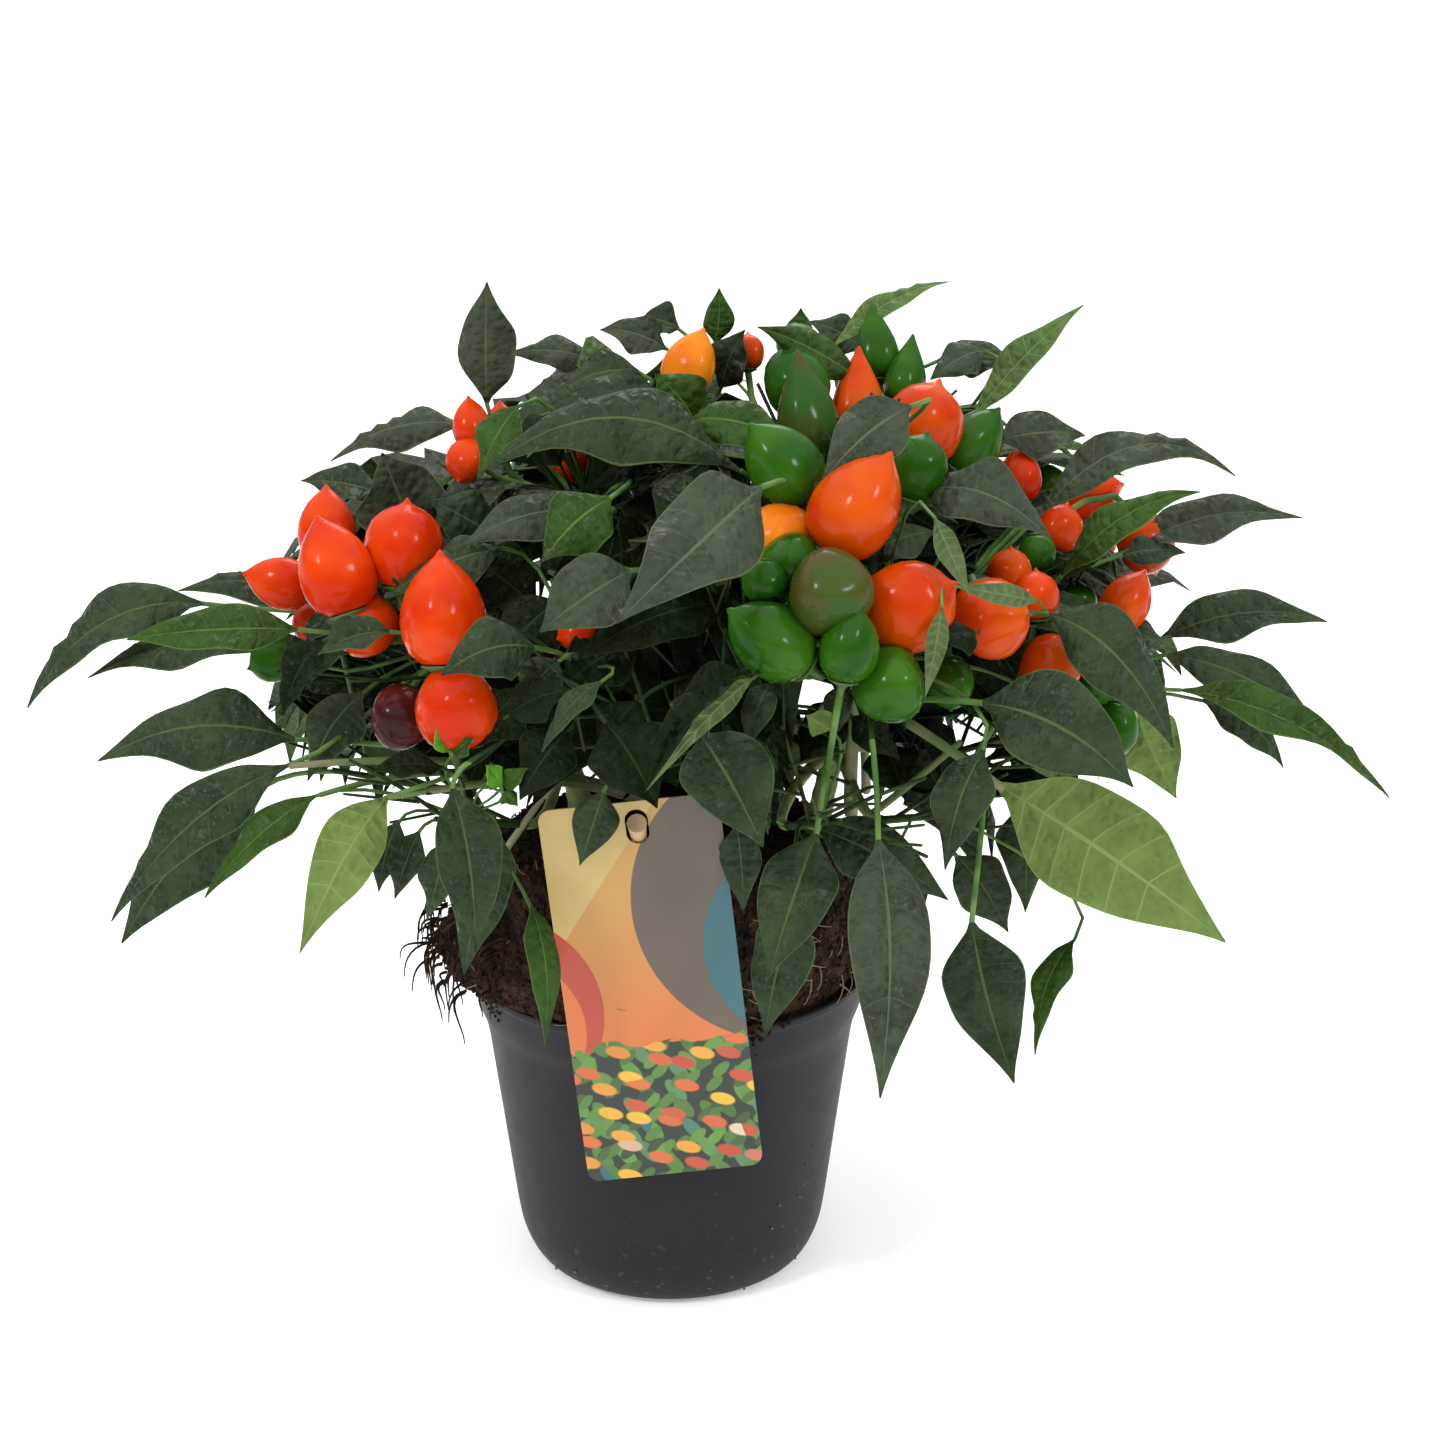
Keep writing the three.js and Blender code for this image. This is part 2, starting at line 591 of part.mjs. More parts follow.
const boughsOn = { right: 0, left: 0, back: 0 };
const boughTotals = { right: 0, left: 0, back: 0 };
for (const mass of masses) boughTotals[mass.stem] += 1;
for (const mass of masses) {
  const place = boughsOn[mass.stem] / (boughTotals[mass.stem] - 1);
  boughsOn[mass.stem] += 1;
  const curve = boughCurve(mass, stemCurves[mass.stem], place);
  const radiusAt = (swell) => (along) => THREE.MathUtils.lerp(boughRadius, boughTipRadius, along) + swell;
  const bough = mainBody(solidOf(limb(curve, radiusAt(0), 6, 3)).subtract(limbs));
  addPiece(`bough_${mass.name}`, geometryOf(bough), materials.stem);
  limbs = limbs.add(solidOf(limb(curve, radiusAt(gap), 6, 3)));
}

const fixed = wasm.Manifold.union([
  limbs,
  solidOf(new THREE.CylinderGeometry(rimRadius + 1, waistRadius, potHeight, 20).rotateX(Math.PI / 2)
    .translate(0, 0, potHeight / 2)),
  solidOf(makeSoil(gap)),
  solidOf(makeTag(gap)),
  solidOf(makePeg(gap)),
]);

function touches(solid, others) {
  return solid.intersect(others).volume() > 1e-4;
}

// The wedge of a mass: points nearer to its direction from the heart than to any other mass's, with a
// little room to stray over its edges where the neighbours have left it free
const aims = masses.map((mass) => toward(mass.bearing, mass.rise));
function insideWedge(geometry, index) {
  return pointsOf(geometry).every((point) => {
    const from = point.sub(heart);
    return aims.every((aim, other) => (
      other === index || from.dot(aims[index].clone().sub(aim)) > -stray * aims[index].distanceTo(aim)
    ));
  });
}

function insideCrown(geometry) {
  return pointsOf(geometry).every((point) => (
    point.z > crownFoot
    && ((point.x - crownMiddleX) / crownHalf.x) ** 2
      + (point.y / crownHalf.y) ** 2
      + ((point.z - heart.z) / crownHalf.z) ** 2 < 1
  ));
}

function leaderOf(mass) {
  const aim = toward(mass.bearing, mass.rise);
  const from = heart.clone().addScaledVector(aim, mass.reach + gap);
  return { from, aim, at: (share) => from.clone().addScaledVector(aim, leaderLength * share) };
}

function makeLeader(leader, swell) {
  const line = new THREE.LineCurve3(leader.at(0), leader.at(1));
  const radiusAt = (along) => THREE.MathUtils.lerp(boughTipRadius, twigRadius, along) + swell;
  return solidOf(limb(line, radiusAt, 5, 1));
}

// What the rows of a mass state. A leaf or fruit that would touch a limb, or what another mass already
// holds, is skipped.
const leaders = masses.map(leaderOf);
const spines = leaders.map((leader) => makeLeader(leader, gap));
const held = [];
masses.forEach((mass, index) => {
  const leader = leaders[index];
  const solids = [makeLeader(leader, 0)];
  const fat = [spines[index]];
  const otherSpines = spines.filter((_, other) => other !== index);
  const taken = wasm.Manifold.union([fixed, ...otherSpines, ...held.map((other) => other.fat)]);
  const keep = (make) => {
    const solid = solidOf(make(0));
    if (touches(solid, taken)) return;
    solids.push(solid);
    fat.push(solidOf(make(gap)));
  };
  mass.leaves.forEach(([bearing, rise, reach, bladeBearing, pitch, length, width, arch, roll], item) => {
    const foot = heart.clone().addScaledVector(toward(bearing, rise), reach);
    const blade = { bearing: bladeBearing, pitch, length, width, arch, roll };
    const root = leader.at(0.25 + 0.6 * chance(index, item, 1));
    keep((swell) => makeLeaf(root, foot, blade, swell));
  });
  mass.fruits.forEach(([bearing, rise, reach, width, noseBearing, nosePitch], item) => {
    const middle = heart.clone().addScaledVector(toward(bearing, rise), reach);
    const root = leader.at(0.4 + 0.5 * chance(index, item, 2));
    keep((swell) => makeFruit(root, middle, width, toward(noseBearing, nosePitch), swell));
  });
  held.push({ solids, fat: wasm.Manifold.union(fat) });
});

const leafTurns = [0, 56, -56, 100, -100];
const leafPlaces = [0.97, 0.84, 0.7, 0.56, 0.42];

// Course of a twig, tilted off the leader and spun round it
function courseOf(aim, tilt, spin) {
  const aside = new THREE.Vector3(0, 0, 1).cross(aim).normalize();
  return aim.clone().applyAxisAngle(aside, radians(tilt)).applyAxisAngle(aim, radians(spin));
}

// One leaf by the seeded rule, with the blade alone for the test against its neighbours
function ruleLeaf(mass, index, item, base, course, turn, size) {
  const bearing = THREE.MathUtils.radToDeg(Math.atan2(course.y, course.x)) + turn
    + 30 * (chance(index, item, 6) - 0.5);
  const pitch = 14 - 56 * chance(index, item, 7) + mass.rise * 0.2;
  const length = size * (70 + 34 * chance(index, item, 8));
  const foot = base.clone().addScaledVector(toward(bearing, pitch * 0.4 + 18), stalkLength);
  const blade = {
    bearing, pitch, length, width: length * leafWidthShare,
    arch: 0.06 + 0.08 * chance(index, item, 9), roll: 50 * (chance(index, item, 10) - 0.5),
    stations: [[0.42, 1]],
  };
  return {
    whole: makeLeaf(base, foot, blade),
    fat: makeLeaf(base, foot, blade, gap),
    blade: makeLeaf(base, foot, blade, gap, true),
  };
}

masses.forEach((mass, index) => {
  const leader = leaders[index];
  const solids = [...held[index].solids];
  const others = wasm.Manifold.union(held.filter((_, other) => other !== index).map(({ fat }) => fat));
  const fits = (geometry) => (
    insideWedge(geometry, index) && insideCrown(geometry)
    && !touches(solidOf(geometry), fixed) && !touches(solidOf(geometry), others)
  );
  let own = wasm.Manifold.union(solids);
  const room = [held[index].fat];
  for (let t = 0; t < mass.twigs; t++) {
    const spin = 137.5 * t + 360 * chance(index, 0, 4);
    const tilt = 24 + 40 * chance(index, t, 3);
    const root = leader.at(0.1 + 0.9 * (t / mass.twigs));
    const span = 30 + 34 * chance(index, t, 5);
    const course = [1, 0.7, 0.4].map((share) => courseOf(leader.aim, tilt * share, spin))
      .find((way) => fits(makeTwig(root, root.clone().addScaledVector(way, span), twigRadius)));
    if (!course) continue;
    const tip = root.clone().addScaledVector(course, span);
    const grown = [];
    for (let k = 0; k < leafTurns.length; k++) {
      const item = 10 * t + k;
      const base = root.clone().lerp(tip, leafPlaces[k]);
      const leaf = [1, 0.75, 0.5, 0.25, 0]
        .map((share) => ruleLeaf(mass, index, item, base, course, share * leafTurns[k], 0.7 + 0.3 * share))
        .find(({ whole, blade }) => fits(whole) && !touches(solidOf(blade), own));
      if (!leaf) continue;
      own = own.add(solidOf(leaf.whole));
      grown.push(solidOf(leaf.whole));
      room.push(solidOf(leaf.fat));
    }
    if (grown.length > 0) {
      const twig = solidOf(makeTwig(root, tip, twigRadius));
      room.push(solidOf(makeTwig(root, tip, twigRadius, gap)));
      own = own.add(twig);
      solids.push(twig, ...grown);
    }
  }
  held[index].fat = wasm.Manifold.union(room);
  addPiece(`foliage_${mass.name}`, fuse(solids), materials.foliage);
});

export default plant;
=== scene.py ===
import math
import bpy
import numpy as np
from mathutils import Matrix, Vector


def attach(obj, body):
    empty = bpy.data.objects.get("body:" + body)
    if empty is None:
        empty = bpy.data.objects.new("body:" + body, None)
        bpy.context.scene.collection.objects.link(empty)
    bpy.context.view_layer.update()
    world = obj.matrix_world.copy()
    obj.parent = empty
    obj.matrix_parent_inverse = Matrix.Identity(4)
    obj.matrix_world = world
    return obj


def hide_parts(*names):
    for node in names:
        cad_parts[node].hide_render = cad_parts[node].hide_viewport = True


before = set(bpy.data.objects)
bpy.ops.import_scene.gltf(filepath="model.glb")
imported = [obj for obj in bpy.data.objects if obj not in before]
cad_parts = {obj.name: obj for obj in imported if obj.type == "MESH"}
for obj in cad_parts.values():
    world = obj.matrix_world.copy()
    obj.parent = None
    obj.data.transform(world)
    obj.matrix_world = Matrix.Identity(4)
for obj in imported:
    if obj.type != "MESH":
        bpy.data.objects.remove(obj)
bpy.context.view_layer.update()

# A potted ornamental chilli pepper plant. Lengths in the settings are millimetres, in the frame of the
# part: Z up from the pot's flat underside, X to the right, Y away from the side that the tag hangs on.

mm = 0.001


# Helpers for node trees

class Wire:  # an output that can stand in a sum
    def __init__(self, maker, socket):
        self.maker = maker
        self.socket = socket

    def math(self, operation, first, second):
        return self.maker.node("ShaderNodeMath", {"operation": operation}, {0: first, 1: second}).out()

    def __add__(self, other):
        return self.math("ADD", self, other)

    def __sub__(self, other):
        return self.math("SUBTRACT", self, other)

    def __rsub__(self, other):
        return self.math("SUBTRACT", other, self)

    def __mul__(self, other):
        return self.math("MULTIPLY", self, other)

    def __truediv__(self, other):
        return self.math("DIVIDE", self, other)

    def __pow__(self, other):
        return self.math("POWER", self, other)

    def __lt__(self, other):
        return self.math("LESS_THAN", self, other)

    __radd__ = __add__
    __rmul__ = __mul__


class Part:  # a node that has been added
    def __init__(self, maker, made):
        self.maker = maker
        self.made = made

    def out(self, name=0):
        return Wire(self.maker, self.made.outputs[name])


class Nodes:  # the one way that nodes are added and joined, in shaders and in Geometry Nodes
    def __init__(self, tree):
        self.tree = tree
        tree.nodes.clear()

    def node(self, kind, settings=None, values=None):
        made = self.tree.nodes.new(kind)
        for key, value in (settings or {}).items():
            if key == "stops":
                for k, (place, colour) in enumerate(value):
                    stops = made.color_ramp.elements
                    stop = stops[k] if k < len(stops) else stops.new(place)
                    stop.position = place
                    stop.color = (*colour, 1)
            else:
                setattr(made, key, value)
        self.fill(made.inputs, values or {})
        return Part(self, made)

    def fill(self, sockets, values):  # each socket by its name or number, with a link or a value
        for key, value in values.items():
            if isinstance(value, Wire):
                self.tree.links.new(value.socket, sockets[key])
            else:
                sockets[key].default_value = value

    def attribute(self, name, kind="FLOAT"):
        made = self.node("GeometryNodeInputNamedAttribute", {"data_type": kind}, {"Name": name})
        return made.out("Attribute")


class Finish(Nodes):  # a material with one Principled shader
    def __init__(self, name, constants):
        self.material = bpy.data.materials.new(name)
        self.material.use_nodes = True
        super().__init__(self.material.node_tree)
        self.shader = self.node("ShaderNodeBsdfPrincipled", {}, constants)
        self.node("ShaderNodeOutputMaterial", {}, {"Surface": self.shader.out("BSDF")})
        self.place = self.node("ShaderNodeTexCoord").out("Object")

    def noise(self, scale, detail, rough=0.55):
        values = {"Vector": self.place, "Scale": scale, "Detail": detail, "Roughness": rough}
        return self.node("ShaderNodeTexNoise", {"noise_dimensions": "3D"}, values).out("Fac")

    def cells(self, scale):
        values = {"Vector": self.place, "Scale": scale}
        return self.node("ShaderNodeTexVoronoi", {"feature": "F1"}, values).out("Distance")

    def blend(self, share, first, second):
        colours = [c if isinstance(c, Wire) else (*c, 1) for c in (first, second)]
        values = {"Factor": share, "A": colours[0], "B": colours[1]}
        mix = self.node("ShaderNodeMix", {"data_type": "RGBA", "clamp_factor": True})
        kinds = {"Factor": "VALUE", "A": "RGBA", "B": "RGBA"}
        self.fill({s.name: s for s in mix.made.inputs if s.type == kinds.get(s.name)}, values)
        return Wire(self, next(s for s in mix.made.outputs if s.type == "RGBA"))

    def steps(self, share, low, high):
        return self.node("ShaderNodeMapRange", {"interpolation_type": "SMOOTHSTEP"},
                         {"Value": share, "From Min": low, "From Max": high}).out("Result")

    def axes(self):
        split = self.node("ShaderNodeSeparateXYZ", {}, {"Vector": self.place})
        return split.out("X"), split.out("Y"), split.out("Z")

    def relief(self, height, strength, distance):
        return self.node("ShaderNodeBump", {}, {
            "Height": height, "Strength": strength, "Distance": distance}).out("Normal")

    def wear(self, sockets):
        self.fill(self.shader.made.inputs, sockets)
        return self.material


def plainSkin(name, constants, scale, first, second):  # two colours in soft patches
    skin = Finish(name, constants)
    return skin.wear({"Base Color": skin.blend(skin.noise(scale, 2), first, second)})


# Helpers for shapes

def radians(degrees):
    return degrees * math.pi / 180


def toward(bearing, rise):
    level = math.cos(radians(rise))
    return np.array([level * math.cos(radians(bearing)), level * math.sin(radians(bearing)),
                     math.sin(radians(rise))])


def chance(mass, item, use):  # the same number from 0 to 1 each time, as in the part's own rule
    wave = math.sin(mass * 12.9898 + item * 78.233 + use * 37.719) * 43758.5453
    return wave - math.floor(wave)


def between(limits, mass, item, use):
    low, high = limits
    return low + (high - low) * chance(mass, item, use)


def unit(vector):
    return vector / max(1e-9, np.linalg.norm(vector))


def turned(vector, axis, degrees):
    angle = radians(degrees)
    return (vector * math.cos(angle) + np.cross(axis, vector) * math.sin(angle)
            + axis * np.dot(axis, vector) * (1 - math.cos(angle)))


def bezier(points, shares):
    layer = [np.array(p, float) for p in points]
    t = np.asarray(shares)[:, None]
    rows = [np.broadcast_to(p, (len(t), 3)) for p in layer]
    while len(rows) > 1:
        rows = [a * (1 - t) + b * t for a, b in zip(rows, rows[1:])]
    return rows[0]


def curve(points, count):
    return bezier(points, np.linspace(0, 1, count))


class Heap:  # points and faces of many small shapes, joined to one mesh
    def __init__(self):
        self.points, self.faces, self.slots, self.flat = [], [], [], []
        self.count = 0

    def add(self, points, faces, slots, flat=None):
        points = np.asarray(points, float).reshape(-1, 3)
        faces = np.asarray(faces, int)
        self.points.append(points)
        self.faces.append(faces + self.count)
        self.slots.append(np.broadcast_to(np.asarray(slots, int), (len(faces),)))
        self.flat.append(np.zeros(len(faces), bool) if flat is None else np.asarray(flat, bool))
        self.count += len(points)

    def join(self, faces, slot):  # more faces, flat ones, over the points added so far
        self.faces.append(np.asarray(faces, int))
        self.slots.append(np.full(len(faces), slot))
        self.flat.append(np.full(len(faces), True))

    def build(self, name, materials):
        points = np.concatenate(self.points) * mm
        corners = np.concatenate([f.reshape(-1) for f in self.faces])
        sizes = np.concatenate([np.full(len(f), f.shape[1]) for f in self.faces])
        mesh = bpy.data.meshes.new(name)
        mesh.vertices.add(len(points))
        mesh.vertices.foreach_set("co", points.reshape(-1).astype(np.float32))
        mesh.loops.add(len(corners))
        mesh.loops.foreach_set("vertex_index", corners.astype(np.int32))
        mesh.polygons.add(len(sizes))
        starts = np.concatenate([[0], np.cumsum(sizes)[:-1]])
        mesh.polygons.foreach_set("loop_start", starts.astype(np.int32))
        mesh.polygons.foreach_set("material_index", np.concatenate(self.slots).astype(np.int32))
        mesh.polygons.foreach_set("use_smooth", ~np.concatenate(self.flat))
        for material in materials:
            mesh.materials.append(material)
        mesh.update(calc_edges=True)
        mesh.validate()
        made = bpy.data.objects.new(name, mesh)
        bpy.context.scene.collection.objects.link(made)
        return made


def keep(piece, slot, *nodes):
    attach(piece, "root")
    if nodes:
        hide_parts(*nodes)
    return piece


def growTree(name, inputs):  # an empty Geometry Nodes tree with named inputs
    tree = bpy.data.node_groups.new(name, "GeometryNodeTree")
    tree.is_modifier = True
    nodes = Nodes(tree)
    tree.interface.new_socket("Geometry", in_out="INPUT", socket_type="NodeSocketGeometry")
    tree.interface.new_socket("Geometry", in_out="OUTPUT", socket_type="NodeSocketGeometry")
    for label, kind in inputs.items():
        tree.interface.new_socket(label, in_out="INPUT", socket_type=f"NodeSocket{kind}")
    return nodes, nodes.node("NodeGroupInput")


def closeTree(nodes, geometry, material):
    whole = nodes.node("GeometryNodeRealizeInstances", {}, {"Geometry": geometry}).out()
    painted = nodes.node("GeometryNodeSetMaterial", {}, {"Geometry": whole, "Material": material}).out()
    nodes.node("NodeGroupOutput", {}, {"Geometry": painted})


def runTree(name, nodes, values, base):  # what the tree makes of a mesh, as a plain mesh of its own
    carrier = bpy.data.objects.new(name + "_carrier", base)
    bpy.context.scene.collection.objects.link(carrier)
    modifier = carrier.modifiers.new("grow", "NODES")
    modifier.node_group = nodes.tree
    for item in nodes.tree.interface.items_tree:
        if item.item_type == "SOCKET" and item.in_out == "INPUT" and item.name in values:
            modifier[item.identifier] = values[item.name]
    graph = bpy.context.evaluated_depsgraph_get()
    mesh = bpy.data.meshes.new_from_object(carrier.evaluated_get(graph), depsgraph=graph)
    carrier.modifiers.remove(modifier)
    bpy.data.objects.remove(carrier)
    mesh.name = name
    made = bpy.data.objects.new(name, mesh)
    bpy.context.scene.collection.objects.link(made)
    return made


# The plan of the plant: stems, masses of foliage, and the leaves and fruit that show

crown = {
    "heart": (10, 0, 190), "half": (292, 236, 234), "middleX": 16, "foot": 122, "stray": 22,
    "leader": 46, "leaderRadii": (1.9, 1.6, 1.2), "boughRadii": (2.9, 1.9), "gap": 0.3,
    "fork": (0.62, 0.36), "leave": (0.75, 0.65), "bends": (0.35, 0.3),
}
soil = {"top": 193, "topRadius": 68, "sideRadius": 81, "spillBearing": 190, "spillReach": 15}
clearance = {"pot": (90, 138), "soilSide": 8, "soilDrop": 4, "soilTop": 3, "spillEdge": -60,
             "tagMiddle": -8, "tagHalf": 48, "tagBack": (-98, -76), "tagTop": 242}
stems = {
    "right": {"foot": (62, -6), "lean": (10, -2), "height": 46},
    "left": {"foot": (-36, 4), "lean": (-10, -6), "height": 44},
    "back": {"foot": (16, 40), "lean": (2, 8), "height": 45},
}

# Masses: name and stem; bearing, rise and reach from the heart; twigs; share of the crown to grow in.
massRows = [
    ("top_left", "back", 178, 74, 114, 12, 0.95), ("top_right", "right", 352, 70, 116, 12, 0.95),
    ("left", "left", 190, 14, 108, 5, 0.85), ("left_front", "left", 222, 16, 92, 6, 0.85),
    ("front", "left", 262, 37, 88, 9, 0.86), ("front_right", "right", 296, 20, 92, 8, 0.86),
    ("right_front", "right", 326, 15, 96, 6, 0.85), ("right", "right", 358, 19, 106, 6, 0.82),
    ("right_back", "right", 35, 17, 108, 6, 0.92), ("back_right", "back", 70, 18, 104, 8, 0.94),
    ("back_left", "back", 108, 18, 104, 7, 0.94), ("left_back", "left", 146, 17, 108, 7, 0.88),
    ("high_left", "left", 203, 43, 104, 9, 0.82), ("high_back_left", "left", 156, 45, 104, 8, 0.88),
    ("high_front_left", "left", 243, 46, 100, 12, 0.86), ("high_front", "right", 281, 47, 100, 9, 0.86),
    ("high_front_right", "right", 318, 45, 104, 8, 0.86), ("high_right", "right", 354, 43, 106, 7, 0.88),
    ("high_back_right", "back", 44, 45, 106, 7, 0.93), ("high_back", "back", 100, 45, 106, 10, 0.93),
]
masses = [{"name": name, "stem": stem, "aim": (bearing, rise), "reach": reach, "twigs": twigs, "room": room}
          for name, stem, bearing, rise, reach, twigs, room in massRows]
heart = np.array(crown["heart"], float)
aims = [toward(*mass["aim"]) for mass in masses]


def stemPoints(size):
    x, y = size["foot"]
    dx, dy = size["lean"]
    z, height = soil["top"] + crown["gap"], size["height"]
    return [(x, y, z), (x + dx * 0.3, y + dy * 0.3, z + height * 0.5), (x + dx, y + dy, z + height)]


def boughPoints(index, place):
    mass = masses[index]
    low, more = crown["fork"]
    start = bezier(stemPoints(stems[mass["stem"]]), [low + more * place])[0]
    tip = heart + aims[index] * mass["reach"]
    span = np.linalg.norm(tip - start)
    away = unit((tip - start) * (1, 1, 0))
    leave = unit(away * crown["leave"][0] + np.array([0, 0, crown["leave"][1]]))
    near, far = crown["bends"]
    return [start, start + leave * span * near, tip - aims[index] * span * far, tip]


def insideWedge(points, index):
    spare = (points - heart) @ (aims[index][:, None] - np.array(aims).T)
    apart = np.linalg.norm(aims[index] - np.array(aims), axis=1)
    return bool((spare > -crown["stray"] * apart - 1e-6).all())


def insideCrown(points, room=1.0):
    x, y, z = points.T
    half = np.array(crown["half"]) * room
    bulk = (((x - crown["middleX"]) / half[0]) ** 2 + (y / half[1]) ** 2
            + ((z - heart[2]) / half[2]) ** 2)
    return bool((bulk < 1).all() and (z > crown["foot"]).all())


def clearOfPot(points):  # also of the peat and of the tag with its peg
    x, y, z = points.T
    outward = np.hypot(x, y)
    reach, rim = clearance["pot"]
    inPot = (outward < reach) & (z < rim)
    spilt = soil["spillReach"] * (x < clearance["spillEdge"])
    soilSide = soil["sideRadius"] + clearance["soilSide"] + spilt
    inSoil = (outward < soilSide) & (z < soil["top"] - clearance["soilDrop"])
    onSoil = (outward < soil["topRadius"]) & (z < soil["top"] + clearance["soilTop"])
    front, back = clearance["tagBack"]
    atTag = (np.abs(x - clearance["tagMiddle"]) < clearance["tagHalf"]) & (y > front) & (y < back)
    return not bool((inPot | inSoil | onSoil | atTag & (z < clearance["tagTop"])).any())


